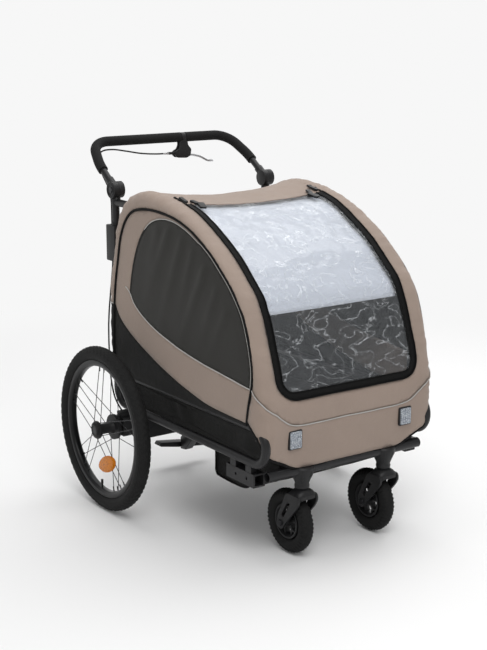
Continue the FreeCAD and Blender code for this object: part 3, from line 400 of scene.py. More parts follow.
def sweep(name, path, radius, slot, body="chassis", material=None, sides=10, flat=None, closed=False,
          cap=True):
    """A tube along a line of points; flat = (normal direction, thickness) makes a ribbon of it."""
    path = [Vector(p) for p in path]
    count = len(path)
    radii = radius if hasattr(radius, "__len__") else [radius] * count
    points, faces = [], []
    normal = None
    for i, p in enumerate(path):
        before = path[i - 1] if i or closed else path[0]
        after = path[(i + 1) % count] if closed or i + 1 < count else path[-1]
        along = (after - before).normalized()
        if flat is not None:
            wanted = Vector(flat[0][i]) if hasattr(flat[0][0], "__len__") else Vector(flat[0])
            up = (wanted - along * wanted.dot(along)).normalized()
        elif normal is None:
            up = along.orthogonal().normalized()
        else:
            up = (normal - along * normal.dot(along)).normalized()
        normal = up
        side = along.cross(up)
        for k in range(sides):
            turn = 2 * math.pi * k / sides
            high = flat[1] / 2 if flat is not None else radii[i]
            points.append(p + side * radii[i] * math.cos(turn) + up * high * math.sin(turn))
    rings = count if closed else count - 1
    for i in range(rings):
        for k in range(sides):
            a, b = i * sides + k, i * sides + (k + 1) % sides
            c, d = (i + 1) % count * sides + (k + 1) % sides, (i + 1) % count * sides + k
            faces.append((a, b, c, d))
    if cap and not closed:
        faces.append(tuple(reversed(range(sides))))
        faces.append(tuple(range((count - 1) * sides, count * sides)))
    return piece(name, points, faces, slot, body, material)


def lathe(name, outline, centre, slot, body, axis="X", steps=64, closed=True, material=None, sharp=30,
          side=1):
    """A turned piece from (along, radius) points about an axis through its centre."""
    points, faces = [], []
    count = len(outline)
    for i in range(steps):
        turn = 2 * math.pi * i / steps
        c, s = math.cos(turn), math.sin(turn)
        for along, radius in outline:
            local = (side * along, radius * c, radius * s)
            if axis == "Z":
                local = (radius * c, radius * s, along)
            elif axis == "Y":
                local = (radius * c, along, radius * s)
            points.append(Vector(centre) + Vector(local))
    spans = count if closed else count - 1
    for i in range(steps):
        for k in range(spans):
            a, b = i * count + k, i * count + (k + 1) % count
            c, d = (i + 1) % steps * count + (k + 1) % count, (i + 1) % steps * count + k
            faces.append((a, b, c, d))
    bm = bmesh.new()
    verts = [bm.verts.new(p) for p in points]
    for face in faces:
        if len({tuple(points[i]) for i in face}) > 2:
            try:
                bm.faces.new([verts[i] for i in face])
            except ValueError:
                continue
    bmesh.ops.remove_doubles(bm, verts=bm.verts, dist=1e-6)
    return from_bmesh(name, bm, slot, body, material, sharp)


def plate(name, outline, thickness, place, slot, body, bevel=0.0015, holes=(), material=None, segments=3):
    """A flat piece from an outline with holes, its edges rounded; place maps (u, v, w) to a point."""
    loops = [outline, *holes]
    flat = [Vector(p) for loop in loops for p in loop]
    edges, start = [], 0
    for loop in loops:
        edges += [(start + i, start + (i + 1) % len(loop)) for i in range(len(loop))]
        start += len(loop)
    verts, _, tris, *_ = geometry.delaunay_2d_cdt(flat, edges, [], 0, 1e-7)
    bm = bmesh.new()
    made = [bm.verts.new((v.x, v.y, 0)) for v in verts]
    for tri in tris:
        mid = sum((verts[i] for i in tri), Vector((0, 0))) / 3
        if inside([mid], outline)[0] and not any(inside([mid], hole)[0] for hole in holes):
            bm.faces.new([made[i] for i in tri])
    loose = [v for v in bm.verts if not v.link_faces]
    bmesh.ops.delete(bm, geom=loose, context="VERTS")
    bmesh.ops.dissolve_limit(bm, angle_limit=0.01, verts=bm.verts, edges=bm.edges)
    extruded = bmesh.ops.extrude_face_region(bm, geom=list(bm.faces))
    moved = [g for g in extruded["geom"] if isinstance(g, bmesh.types.BMVert)]
    bmesh.ops.translate(bm, verts=moved, vec=(0, 0, thickness))
    bmesh.ops.recalc_face_normals(bm, faces=bm.faces)
    if bevel:
        sharp_edges = [e for e in bm.edges if e.is_manifold and e.calc_face_angle(0) > 0.5]
        bmesh.ops.bevel(bm, geom=sharp_edges, offset=bevel, segments=segments, profile=0.5,
                        affect="EDGES", clamp_overlap=True)
    for v in bm.verts:
        v.co = place(v.co.x, v.co.y, v.co.z - thickness / 2)
    return from_bmesh(name, bm, slot, body, material)


def inside(points, polygon):
    """Which of the (u, v) points lie in the polygon."""
    p = np.array([(q[0], q[1]) for q in points], float)
    loop = np.array([(q[0], q[1]) for q in polygon], float)
    found = np.zeros(len(p), bool)
    for (x1, y1), (x2, y2) in zip(loop, np.roll(loop, -1, axis=0)):
        if y1 == y2:
            continue
        crosses = (p[:, 1] < y1) != (p[:, 1] < y2)
        at_x = x1 + (p[:, 1] - y1) / (y2 - y1) * (x2 - x1)
        found ^= crosses & (p[:, 0] < at_x)
    return found


def triangulate(outline, lines, step):
    """Points and triangles that fill an outline, with edges along every given line."""
    loops = [(np.array(outline, float), True)] + [(np.array(line, float), False) for line in lines]
    fixed = np.vstack([loop for loop, _ in loops])
    edges, start = [], 0
    for loop, closed in loops:
        count = len(loop)
        edges += [(start + i, start + i + 1) for i in range(count - 1)]
        if closed:
            edges.append((start + count - 1, start))
        start += count
    low, high = fixed.min(0), fixed.max(0)
    rows = int((high[1] - low[1]) / (step * 0.87)) + 1
    grid = []
    for r in range(rows):
        v = low[1] + step * 0.87 * (r + 0.5)
        shift = step / 2 if r % 2 else 0.0
        grid += [(low[0] + shift + step * c, v) for c in range(int((high[0] - low[0]) / step) + 1)]
    grid = np.array(grid)
    grid = grid[inside(grid, outline)]
    nearest = np.full(len(grid), 1e9)
    for loop, closed in loops:
        ends = np.vstack([loop, loop[:1]]) if closed else loop
        for a, b in zip(ends, ends[1:]):
            ab = b - a
            t = np.clip(((grid - a) @ ab) / max(1e-12, ab @ ab), 0, 1)
            nearest = np.minimum(nearest, np.linalg.norm(grid - a - t[:, None] * ab, axis=1))
    grid = grid[nearest > step * 0.45]
    flat = [Vector(p) for p in np.vstack([fixed, grid])]
    verts, _, tris, *_ = geometry.delaunay_2d_cdt(flat, edges, [], 0, 1e-6)
    points = np.array([tuple(v) for v in verts])
    tris = np.array([t for t in tris if len(t) == 3])
    mids = points[tris].mean(axis=1)
    return points, tris[inside(mids, outline)]


def patch(name, points, tris, keep, place, slot, body, material=None, outward=None):
    """A piece made of the kept triangles, placed by a function of its flat (u, v) points."""
    chosen = tris[keep]
    used, compact = np.unique(chosen.ravel(), return_inverse=True)
    faces = compact.reshape(-1, 3)
    placed = place(points[used])
    if outward is not None:
        a, b, c = (placed[faces[:, k]] for k in range(3))
        normals = np.cross(b - a, c - a)
        ways = outward(placed[faces].mean(axis=1))
        flip = (normals * ways).sum(axis=1) < 0
        faces[flip] = faces[flip][:, ::-1]
    return piece(name, placed, faces, slot, body, material)


def wobble(points, scale, seed=0.0):
    """Smooth noise from -1 to 1 at each point."""
    return np.array([noise.noise(Vector((p[0] * scale + seed, p[1] * scale - seed,
                                         (p[2] if len(p) > 2 else 0.0) * scale + 3 * seed))) for p in points])


# ---- the cabin's shape --------------------------------------------------------------------

CENTRE_LINE = [
    (-0.663, 0.255), (-0.671, 0.330), (-0.676, 0.400), (-0.674, 0.463), (-0.664, 0.495),
    (-0.655, 0.522), (-0.648, 0.549), (-0.630, 0.599), (-0.612, 0.650), (-0.602, 0.675),
    (-0.590, 0.699), (-0.576, 0.724), (-0.554, 0.747), (-0.528, 0.770), (-0.502, 0.793),
    (-0.474, 0.816), (-0.441, 0.839), (-0.405, 0.861), (-0.366, 0.883), (-0.323, 0.905),
    (-0.282, 0.922), (-0.219, 0.940), (-0.160, 0.952), (-0.099, 0.959), (-0.037, 0.954),
    (0.024, 0.932), (0.068, 0.884), (0.096, 0.805), (0.112, 0.745), (0.126, 0.695), (0.129, 0.600),
    (0.128, 0.500), (0.124, 0.404),
]
PIPING = [
    (-0.580, 0.255), (-0.592, 0.330), (-0.603, 0.397), (-0.613, 0.454), (-0.626, 0.504),
    (-0.629, 0.548), (-0.621, 0.592), (-0.610, 0.631), (-0.588, 0.685), (-0.560, 0.723),
    (-0.526, 0.760), (-0.479, 0.799), (-0.432, 0.834), (-0.383, 0.861), (-0.334, 0.884),
    (-0.273, 0.902), (-0.205, 0.912), (-0.125, 0.915), (-0.069, 0.910), (-0.023, 0.897),
    (0.012, 0.869), (0.042, 0.820), (0.063, 0.742), (0.078, 0.679), (0.088, 0.616), (0.096, 0.500),
    (0.097, 0.404),
]
LINE_STEPS = 700
FLAT_HALF, ROLL_WIDTH, SIDE_X = 0.258, 0.062, 0.300
SHEET_HALF = FLAT_HALF + ROLL_WIDTH
centre_line = smooth_line(CENTRE_LINE, LINE_STEPS)
piping_line = smooth_line(PIPING, LINE_STEPS)


def run_lengths(line):
    return np.concatenate([[0], np.cumsum(np.linalg.norm(np.diff(line, axis=0), axis=1))])


def matched(line, guide):
    """The line resampled so that each point faces the guide's point of the same number."""
    picks, last = [], 0
    for p in guide:
        window = line[last:last + 60]
        last += int(np.argmin(np.linalg.norm(window - p, axis=1)))
        picks.append(last)
    picks = np.array(picks, float)
    smooth = np.convolve(np.pad(picks, 20, mode="edge"), np.ones(41) / 41, mode="valid")
    smooth[0], smooth[-1] = 0, len(line) - 1
    numbers = np.arange(len(line))
    return np.stack([np.interp(smooth, numbers, line[:, k]) for k in (0, 1)], axis=1)


piping_line = matched(piping_line, centre_line)
along = run_lengths(centre_line)
ALL_LONG = along[-1]


def s_at_z(z):
    """How far along the front's line a height is."""
    front = int(np.argmax(centre_line[:, 1] > 0.8))
    return float(np.interp(z, centre_line[:front, 1], along[:front]))


def s_at_y(y):
    """How far along the roof's line a place is."""
    top = int(np.argmax(centre_line[:, 1]))
    return float(np.interp(y, centre_line[:top, 0][200:], along[:top][200:]))


S_LOW, S_ROOF_EDGE = s_at_z(0.463), s_at_y(-0.222)
S_RIDGE = float(along[int(np.argmax(centre_line[:, 1]))])
S_REAR_BLACK = float(along[-1]) - 0.205


def bare_cabin(points):
    """The cabin's outer surface with no folds: (across, along) to (x, y, z)."""
    v, s = points[:, 0], np.clip(points[:, 1], 0, ALL_LONG)
    front = np.stack([np.interp(s, along, centre_line[:, k]) for k in (0, 1)], axis=1)
    side = np.stack([np.interp(s, along, piping_line[:, k]) for k in (0, 1)], axis=1)
    t = np.clip((np.abs(v) - FLAT_HALF) / ROLL_WIDTH, 0, 1)[:, None]
    reach = np.ones((len(v), 1))
    corners = [
        np.hstack([reach * FLAT_HALF, front]),
        np.hstack([reach * 0.291, front]),
        np.hstack([reach * (SIDE_X + 0.002), front * 0.55 + side * 0.45]),
        np.hstack([reach * SIDE_X, side]),
    ]
    rolled = sum(
        w * c for w, c in zip(((1 - t) ** 3, 3 * t * (1 - t) ** 2, 3 * t ** 2 * (1 - t), t ** 3), corners)
    )
    flat = np.abs(v) <= FLAT_HALF
    rolled[:, 0] = np.where(flat, np.abs(v), rolled[:, 0]) * np.sign(v + 1e-12)
    return rolled


def bump_at(x, middle_x, width):
    return np.exp(-((x - middle_x) / width) ** 2)


def cloth_folds(points):
    """How far the cloth stands out from the bare surface: sag between the tubes, puckers, creases."""
    v, s = points[:, 0], points[:, 1]
    across = np.clip(1 - (v / 0.262) ** 2, 0, 1)
    roof = 1 / (1 + np.exp(-(s - (S_RIDGE - 0.16)) / 0.035))
    rear = 1 / (1 + np.exp(-(s - (S_RIDGE + 0.24)) / 0.03))
    sag = -across * (0.021 * roof * (1 - 0.75 * rear) + 0.0035)
    roll = np.clip(1 - np.abs((np.abs(v) - 0.281) / 0.040), 0, 1)
    puff = 0.0045 * roll ** 0.7
    gathers = 0.0036 * roll * wobble(np.stack([v * 6, s * 60], axis=1), 1.0, 3.1)
    gathers += 0.0026 * roll * wobble(np.stack([v * 30, s * 130], axis=1), 1.0, 8.4)
    front = np.clip(1 - (s - S_LOW) / 0.05, 0, 1)
    panel = front * 0.0045 * wobble(np.stack([v * 9, s * 6], axis=1), 1.0, 5.5)
    ridge = 0.0018 * roof * wobble(np.stack([v * 5, s * 14], axis=1), 1.0, 1.7)
    pull = 0.0016 * roof * across ** 0.3 * np.sin(v * 26 + 2 * wobble(points, 4.0, 2.2))
    fine = 0.0012 * wobble(points, 38.0, 9.1)
    bar = 0.011 * bump_at(s, ALL_LONG - 0.297, 0.05) * np.clip(across * 4, 0, 1)
    return sag + puff + gathers + panel + ridge * 0.8 + pull * 0.6 + fine + bar


def cabin_normals(points):
    step = 0.004
    du = bare_cabin(points + [step, 0]) - bare_cabin(points - [step, 0])
    dv = bare_cabin(points + [0, step]) - bare_cabin(points - [0, step])
    n = np.cross(du, dv)
    length = np.linalg.norm(n, axis=1)[:, None]
    return n / np.maximum(length, 1e-9)


def cabin(points, out=0.0, folds=True):
    """The cloth's place at (across, along) points, with its folds, and a distance further out."""
    points = np.asarray(points, float)
    shift = (cloth_folds(points) if folds else 0.0) + out
    made = bare_cabin(points) + cabin_normals(points) * np.reshape(shift, (-1, 1))
    made[:, 1] += AXLE_Y
    return made


def from_middle(points):
    return points - np.array([0.0, AXLE_Y - 0.25, 0.60])


def rounded_box(half, low, high, radius, steps=10):
    """The sides and bottom of a U with round corners, from its top left to its top right."""
    line = [(-half, high)]
    line += [(-half, z) for z in np.linspace(high, low + radius, 60)[1:]]
    for k in range(1, steps + 1):
        a = math.pi + math.pi / 2 * k / steps
        line.append((-half + radius + radius * math.cos(a), low + radius + radius * math.sin(a)))
    line += [(x, low) for x in np.linspace(-half + radius, half - radius, 40)[1:]]
    for k in range(1, steps + 1):
        a = -math.pi / 2 + math.pi / 2 * k / steps
        line.append((half - radius + radius * math.cos(a), low + radius + radius * math.sin(a)))
    line += [(half, z) for z in np.linspace(low + radius, high, 60)[1:]]
    return np.array(line)


WINDOW_HALF, BORDER = 0.246, 0.021
window_edge = rounded_box(WINDOW_HALF, S_LOW, S_ROOF_EDGE, 0.062)
clear_edge = rounded_box(WINDOW_HALF - BORDER, S_LOW + BORDER, S_ROOF_EDGE, 0.036)

# the front panel's lower edge and the reflective seam across it, as (x, z) of the left half
PANEL_EDGE = [(0.320, 0.397), (0.300, 0.374), (0.286, 0.348), (0.270, 0.315), (0.225, 0.289),
              (0.178, 0.267), (0.099, 0.264), (0.0, 0.2635)]
PANEL_SEAM = [(0.320, 0.492), (0.306, 0.478), (0.285, 0.459), (0.268, 0.443), (0.240, 0.419),
              (0.213, 0.401), (0.180, 0.393), (0.110, 0.391), (0.0, 0.391)]


def front_line(half_line, count):
    """A line across the whole front as (across, along), from its left half as (x, z)."""
    left = [(-x, s_at_z(z)) for x, z in half_line]
    whole = left + [(-v, s) for v, s in reversed(left[:-1])]
    return smooth_line(whole, count)


panel_edge = front_line(PANEL_EDGE, 121)
panel_seam = front_line(PANEL_SEAM, 121)
side_edge = [(-SHEET_HALF, s) for s in np.linspace(ALL_LONG, panel_edge[0][1], 170)[:-1]]
outline = np.array(side_edge + list(map(tuple, panel_edge))
                   + [(-v, s) for v, s in reversed(side_edge)]
                   + [(v, ALL_LONG) for v in np.linspace(SHEET_HALF, -SHEET_HALF, 50)[1:-1]])
rear_line = np.array([(v, S_REAR_BLACK) for v in np.linspace(-SHEET_HALF + 1e-4, SHEET_HALF - 1e-4, 50)])
roof_line = np.array([(v, S_ROOF_EDGE) for v in np.linspace(-WINDOW_HALF, WINDOW_HALF, 42)[1:-1]])
flat, tris = triangulate(
    outline, [window_edge, clear_edge, panel_seam[1:-1], rear_line, roof_line], 0.0115,
)
mids = flat[tris].mean(axis=1)
in_window = inside(mids, window_edge)
in_clear = inside(mids, clear_edge)
seam_height = np.interp(mids[:, 0], panel_seam[:, 0], panel_seam[:, 1])
below_seam = mids[:, 1] < seam_height
rear_black = mids[:, 1] > S_REAR_BLACK

CLOTH_THICK = 0.0014


def soft(obj):
    """A piece of the cabin, given a mesh of its own."""
    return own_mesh(obj)


def sheet(obj, area=None):
    return obj


def tri_area(points, chosen):
    a, b, c = (points[chosen[:, k]] for k in range(3))
    u, w = b - a, c - a
    return float(np.abs(u[:, 0] * w[:, 1] - u[:, 1] * w[:, 0]).sum() / 2)


def cabin_sheet(name, keep, slot, material=None, out=0.0, place=cabin, thickness=CLOTH_THICK, strip=None):
    made = patch(name, flat, tris, keep, lambda p: place(p, out), slot, "chassis", material, from_middle)
    thicken(made, thickness)
    area = tri_area(flat, tris[keep])
    if strip:
        sheet(made)
    else:
        used = flat[np.unique(tris[keep])]
        sheet(made, area=area)
    return made


roof = cabin_sheet("roof_cover", ~in_window & ~below_seam & ~rear_black, "taupe_cloth")
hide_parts("fabric_cover")
lower_panel = cabin_sheet("front_lower_panel", below_seam, "taupe_cloth", out=0.0012)
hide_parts("front_panel")
rear_panel = cabin_sheet("rear_lower_cover", rear_black, "black_cloth", out=0.0004)
border = cabin_sheet("front_window_border", in_window & ~in_clear, "zip_tape", out=0.0022, thickness=0.0024,
                     strip=BORDER)
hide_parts("window_border")


# ---- the clear window and the sunshade behind it ------------------------------------------

def film_crumple(points):
    """Crumples of soft PVC, fading out where it is sewn to its border."""
    v, s = points[:, 0], points[:, 1]
    inner = np.minimum(WINDOW_HALF - BORDER - np.abs(v), s - S_LOW - BORDER)
    inner = np.clip(np.minimum(inner, S_ROOF_EDGE - s) / 0.03, 0, 1)
    low_part = 1 / (1 + np.exp((s - S_SHADE) / 0.03))
    broad = wobble(points, 6.0, 4.4) * 0.0030
    skew = np.stack([v * 10 + s * 6, s * 16 - v * 5], axis=1)
    ridges = np.clip(1 - np.abs(wobble(skew, 1.0, 6.6)) * 3.0, 0, 1) ** 2 * (0.0012 + 0.0034 * low_part)
    facets = np.clip(1 - np.abs(wobble(skew[:, ::-1], 1.7, 2.6)) * 3.4, 0, 1) ** 2
    facets *= 0.0006 + 0.0018 * low_part
    right = np.clip(1 - (WINDOW_HALF - BORDER - v) / 0.06, 0, 1) * np.clip((s - S_LOW - 0.16) / 0.1, 0, 1)
    left = np.clip(1 - (WINDOW_HALF - BORDER + v) / 0.03, 0, 1)
    pleats = (right + 0.5 * left) * np.sin(s * 230 + 4 * wobble(points, 12.0, 2.8)) * 0.0018
    return (broad + ridges - facets) * inner + pleats * np.clip(inner * 3, 0, 1)


S_SHADE = s_at_z(0.686)
film_outline = np.vstack([clear_edge, roof_line[(np.abs(roof_line[:, 0]) < 0.214)][::-1]])
film_flat, film_tris = triangulate(film_outline, [], 0.0075)
window = patch(
    "front_window_film", film_flat, film_tris, slice(None),
    lambda p: cabin(p, 0.0006 + film_crumple(p)), "clear_film", "chassis", PVC, from_middle,
)
thicken(window, 0.0006)
sheet(window, area=tri_area(film_flat, film_tris))
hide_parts("front_window")

shade_outline = np.array(
    [(-0.226, s) for s in np.linspace(S_ROOF_EDGE + 0.01, S_SHADE, 50)]
    + [(v, S_SHADE) for v in np.linspace(-0.226, 0.226, 46)[1:-1]]
    + [(0.226, s) for s in np.linspace(S_SHADE, S_ROOF_EDGE + 0.01, 50)]
    + [(v, S_ROOF_EDGE + 0.01) for v in np.linspace(0.226, -0.226, 46)[1:-1]]
)
shade_flat, shade_tris = triangulate(shade_outline, [], 0.010)


def shade_folds(points):
    v, s = points[:, 0], points[:, 1]
    waves = np.sin(s * 30 + 6 * v + 2 * wobble(points, 3.0, 5.0)) * 0.0016
    return waves + wobble(points, 12.0, 3.3) * 0.0018


shade_cloth = patch(
    "sunshade_cloth", shade_flat, shade_tris, slice(None),
    lambda p: cabin(p, -0.0105 + shade_folds(p)), "shade_cloth", "chassis", SILVER_CLOTH, from_middle,
)
thicken(shade_cloth, 0.0008)
sheet(shade_cloth, area=tri_area(shade_flat, shade_tris))
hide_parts("sunshade")


# ---- the cabin's sides --------------------------------------------------------------------

SIDE_LOW = 0.392
SEAM = [(0.082, 0.672), (0.040, 0.676), (0.012, 0.668), (-0.009, 0.655), (-0.031, 0.628), (-0.098, 0.588),
        (-0.223, 0.550), (-0.379, 0.522), (-0.487, 0.511), (-0.624, 0.497)]
SWOOSH = [(0.090, 0.612), (0.060, 0.574), (0.002, 0.536), (-0.112, 0.486), (-0.274, 0.436),
          (-0.377, 0.414), (-0.427, 0.407), (-0.602, 0.401)]
WINDOW_EDGE = [(-0.009, 0.655), (-0.017, 0.700), (-0.031, 0.748), (-0.053, 0.798), (-0.083, 0.843),
               (-0.122, 0.876), (-0.172, 0.894), (-0.240, 0.897), (-0.309, 0.882), (-0.375, 0.855)]
STRIP_EDGE = [(0.020, 0.672), (0.006, 0.712), (-0.008, 0.760), (-0.034, 0.820), (-0.066, 0.868),
              (-0.104, 0.900), (-0.125, 0.912)]


def piping_part(first, last, count, inset=0.0):
    """Points of the piping between two heights' numbers, moved inwards by an inset."""
    part = piping_line[first:last]
    away = np.gradient(part, axis=0)
    away /= np.linalg.norm(away, axis=1)[:, None]
    inner = part + np.stack([away[:, 1], -away[:, 0]], axis=1) * inset
    return smooth_line(inner[::8], count)


def nearest_number(y, z):
    return int(np.argmin(np.linalg.norm(piping_line - [y, z], axis=1)))


low_front = nearest_number(-0.603, 0.397)
side_rim = np.vstack([
    piping_line[low_front::5],
    [(0.097, SIDE_LOW + 0.004)],
    [(y, SIDE_LOW) for y in np.linspace(0.095, -0.600, 60)],
])
seam = smooth_line(SEAM, 90)
swoosh = smooth_line(SWOOSH, 80)
strip_edge = smooth_line(STRIP_EDGE, 40)
window_front = piping_part(nearest_number(-0.626, 0.500), nearest_number(-0.375, 0.866), 60, 0.007)
window_back = smooth_line(WINDOW_EDGE, 60)
window_bottom = seam[seam[:, 0] < -0.008]
side_window = np.vstack([window_back, window_front[::-1][1:], window_bottom[::-1][1:-1]])


def clipped(line, outline_points):
    return line[inside(line, outline_points)]


side_lines = [
    clipped(seam, side_rim), clipped(swoosh, side_rim), clipped(strip_edge, side_rim),
    clipped(window_back[1:-1], side_rim), clipped(window_front, side_rim),
]
side_flat, side_tris = triangulate(side_rim, side_lines, 0.0125)
side_mids = side_flat[side_tris].mean(axis=1)
is_window = inside(side_mids, side_window)
swoosh_z = np.interp(side_mids[:, 0], swoosh[::-1][:, 0], swoosh[::-1][:, 1])
is_black = side_mids[:, 1] < swoosh_z


def drapes(y, z):
    """Soft folds that hang from the window's upper front edge."""
    made = np.zeros(len(y))
    for start_y, start_z, lean, width, depth, long in (
        (-0.235, 0.890, 0.55, 0.016, 0.0034, 0.17), (-0.300, 0.868, 0.45, 0.013, 0.0030, 0.20),
        (-0.355, 0.842, 0.40, 0.012, 0.0026, 0.15), (-0.415, 0.800, 0.55, 0.014, 0.0034, 0.19),
        (-0.470, 0.752, 0.50, 0.012, 0.0024, 0.13), (-0.520, 0.700, 0.60, 0.013, 0.0022, 0.12),
        (-0.170, 0.880, 0.35, 0.018, 0.0020, 0.15),
    ):
        down = start_z - z
        off = y - (start_y + lean * down)
        made += 1.7 * depth * bump_at(off, 0.0, width * (1 + 2.5 * np.clip(down, 0, 1))) * np.exp(
            -(np.clip(down, 0, 1) / long) ** 2) * np.clip(down / 0.02, 0, 1)
    return made


def side_surface(side):
    def place(points, out=0.0):
        y, z = points[:, 0], points[:, 1]
        edge = np.full(len(points), 1e9)
        for a, b in zip(side_rim, np.roll(side_rim, -1, axis=0)):
            ab = b - a
            t = np.clip(((points - a) @ ab) / max(1e-12, ab @ ab), 0, 1)
            edge = np.minimum(edge, np.linalg.norm(points - a - t[:, None] * ab, axis=1))
        inner = np.clip(edge / 0.05, 0, 1)
        belly = 0.003 * inner * np.sin((z - 0.4) * 6.2)
        folds = drapes(y, z) * inner + 0.0010 * inner * wobble(points, 14.0, 2.0 + side)
        x = SIDE_X + belly + folds + out
        return np.stack([side * x, y + AXLE_Y, z], axis=1)
    return place


for word, side in SIDES:
    surface = side_surface(side)
    outward = (lambda way: lambda p: np.tile([way, 0.0, 0.0], (len(p), 1)))(float(side))
    for label, keep, slot, material, covers in (
        ("side_cover", ~is_window & ~is_black, "taupe_cloth", TAUPE, None),
        ("side_window", is_window, "window_cloth", DARK_MESH, "side_windows"),
        ("side_lower_cloth", is_black, "black_cloth", BLACK_CLOTH, None),
    ):
        made = patch(f"{label}_{word}", side_flat, side_tris, keep, surface, slot, "chassis",
                     material, outward)
        thicken(made, 0.0012)
        used = side_flat[np.unique(side_tris[keep])]
        size = used.max(0) - used.min(0)
        sheet(made,
              area=max(tri_area(side_flat, side_tris[keep]), 0.301 * float(size[0] * size[1])))
        if covers:
            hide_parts(covers)
        soft(made)

    def on_side(line, out=0.0):
        return [Vector(p) for p in surface(np.asarray(line), out)]

    piping_path = [at(side * (SIDE_X + 0.001), y, z) for y, z in smooth_line(piping_line[low_front::6], 150)]
    soft(sweep(f"side_piping_{word}", piping_path, 0.0040, "zip_tape", material=BINDING, sides=8))
    way = (float(side), 0, 0)
    seam_path = on_side(seam[8:], 0.0012)
    soft(sweep(f"side_reflective_seam_{word}", seam_path, 0.0019, "zip_tape", material=REFLECTIVE,
               sides=6, flat=(way, 0.0012)))
    inner_edge = on_side(np.vstack([window_back[25:], window_front[::-1][1:]]), 0.0010)
    soft(sweep(f"side_window_seam_{word}", inner_edge, 0.0016, "zip_tape", material=REFLECTIVE,
               sides=6, flat=(way, 0.0010)))
    rear_edge = on_side(window_back[:30], 0.0008)
    soft(sweep(f"side_window_hem_{word}", rear_edge, 0.0022, "window_cloth", sides=6, flat=(way, 0.0010)))

for obj in (roof, rear_panel, border, window, shade_cloth):
    soft(obj)


# ---- the front's seam, binding and reflectors ---------------------------------------------

def on_cabin(line, out=0.0):
    return [Vector(p) for p in cabin(np.asarray(line), out)]


def cabin_ways(line):
    return [tuple(n) for n in cabin_normals(np.asarray(line, float))]


sweep("front_reflective_seam", on_cabin(panel_seam, 0.0022), 0.0017, "zip_tape", material=REFLECTIVE,
      sides=6, flat=(cabin_ways(panel_seam), 0.0012))
sweep("front_lower_binding", on_cabin(panel_edge, 0.0), 0.0042, "zip_tape", material=BINDING, sides=8,
      flat=(cabin_ways(panel_edge), 0.005))
for name, line in (("border_outer_stitch", window_edge), ("border_inner_stitch", clear_edge)):
    path = on_cabin(smooth_line(line, 260), 0.003)
    soft(sweep(name, path, 0.0014, "zip_tape", material=BINDING, sides=6))
roof_hem = np.array([(v, S_ROOF_EDGE + 0.004) for v in np.linspace(-WINDOW_HALF, WINDOW_HALF, 40)])
soft(sweep("roof_window_hem", on_cabin(roof_hem, 0.0012), 0.004, "taupe_cloth", sides=8,
           flat=(cabin_ways(roof_hem), 0.0016)))
soft(sweep("rear_reflective_seam", on_cabin(rear_line, 0.0012), 0.0019, "zip_tape", material=REFLECTIVE,
           sides=6, flat=(cabin_ways(rear_line), 0.0012)))
low_hem = np.array([(v, ALL_LONG - 0.002) for v in np.linspace(-SHEET_HALF, SHEET_HALF, 50)])
sweep("rear_lower_binding", on_cabin(low_hem, 0.0005), 0.004, "zip_tape", material=BINDING, sides=8,
      flat=(cabin_ways(low_hem), 0.004))


def rounded(half_u, half_v, radius, steps=5):
    """A round-cornered rectangle about 0, 0."""
    made = []
    for k, (cu, cv) in enumerate(((1, 1), (-1, 1), (-1, -1), (1, -1))):
        for j in range(steps + 1):
            a = math.pi / 2 * (k + j / steps)
            made.append((cu * (half_u - radius) + radius * math.cos(a),
                         cv * (half_v - radius) + radius * math.sin(a)))
    return made


for word, side in SIDES:
    low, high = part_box("front_reflectors")
    z = (low.z + high.z) / 2
    y = float(cabin([(side * 0.191, s_at_z(z))])[0][1])
    x = side * 0.193

    def face(depth):
        return lambda u, v, w: Vector((x + u, y - depth - w, z + v))
    plate(f"reflector_back_{word}", rounded(0.0225, 0.0265, 0.004), 0.005, face(0.0035), "button_plastic",
          "chassis", 0.001, material=BLACK_PLASTIC)
    front = plate(f"reflector_lens_{word}", rounded(0.0185, 0.0235, 0.003), 0.0045, face(0.0075),
                  "silver_lens", "chassis", 0.0014)
    if side < 0:
        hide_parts("front_reflectors")
    for k in range(5):
        across = -0.014 + 0.007 * k
        plate(f"reflector_facet_{word}_{k}", rounded(0.0022, 0.021, 0.0008), 0.0016,
              (lambda shift: lambda u, v, w: Vector((x + u + shift, y - 0.0101 - w, z + v)))(across),
              "silver_lens", "chassis", 0.0006)

# the window's zip ends and hooks at its top corners
for word, side in SIDES:
    for number, (v, s_back, wide, long, turn) in enumerate((
        (0.199, -0.020, 0.010, 0.018, 0.3), (0.205, 0.010, 0.007, 0.014, -0.25),
        (0.232, 0.028, 0.006, 0.020, 0.1),
    )):
        spot = np.array([(side * v, S_ROOF_EDGE + s_back)])
        centre = Vector(cabin(spot, 0.005)[0])
        normal = Vector(cabin_normals(spot)[0])
        forward = Vector(cabin(spot - [0, 0.01])[0]) - Vector(cabin(spot + [0, 0.01])[0])
        forward = (forward - normal * forward.dot(normal)).normalized()
        forward = Matrix.Rotation(turn * side, 3, normal) @ forward
        aside = normal.cross(forward)
        soft(plate(f"zip_hook_{word}_{number}", rounded(wide, long, min(wide, long) * 0.5), 0.006,
                   (lambda c, a, f, n: lambda u, w, h: c + a * u + f * w + n * h)(
                       centre, aside, forward, normal),
                   "zip_tape", "chassis", 0.0012, material=BLACK_PLASTIC))
    tail = [(side * (0.240 + 0.004 * math.sin(k * 2.1)), S_ROOF_EDGE + 0.008 * k) for k in range(9)]
    soft(sweep(f"zip_tail_{word}", on_cabin(smooth_line(tail, 40), 0.003), 0.0042, "zip_tape",
               material=BINDING, sides=8, flat=(cabin_ways(smooth_line(tail, 40)), 0.003)))


# ---- wheels -------------------------------------------------------------------------------

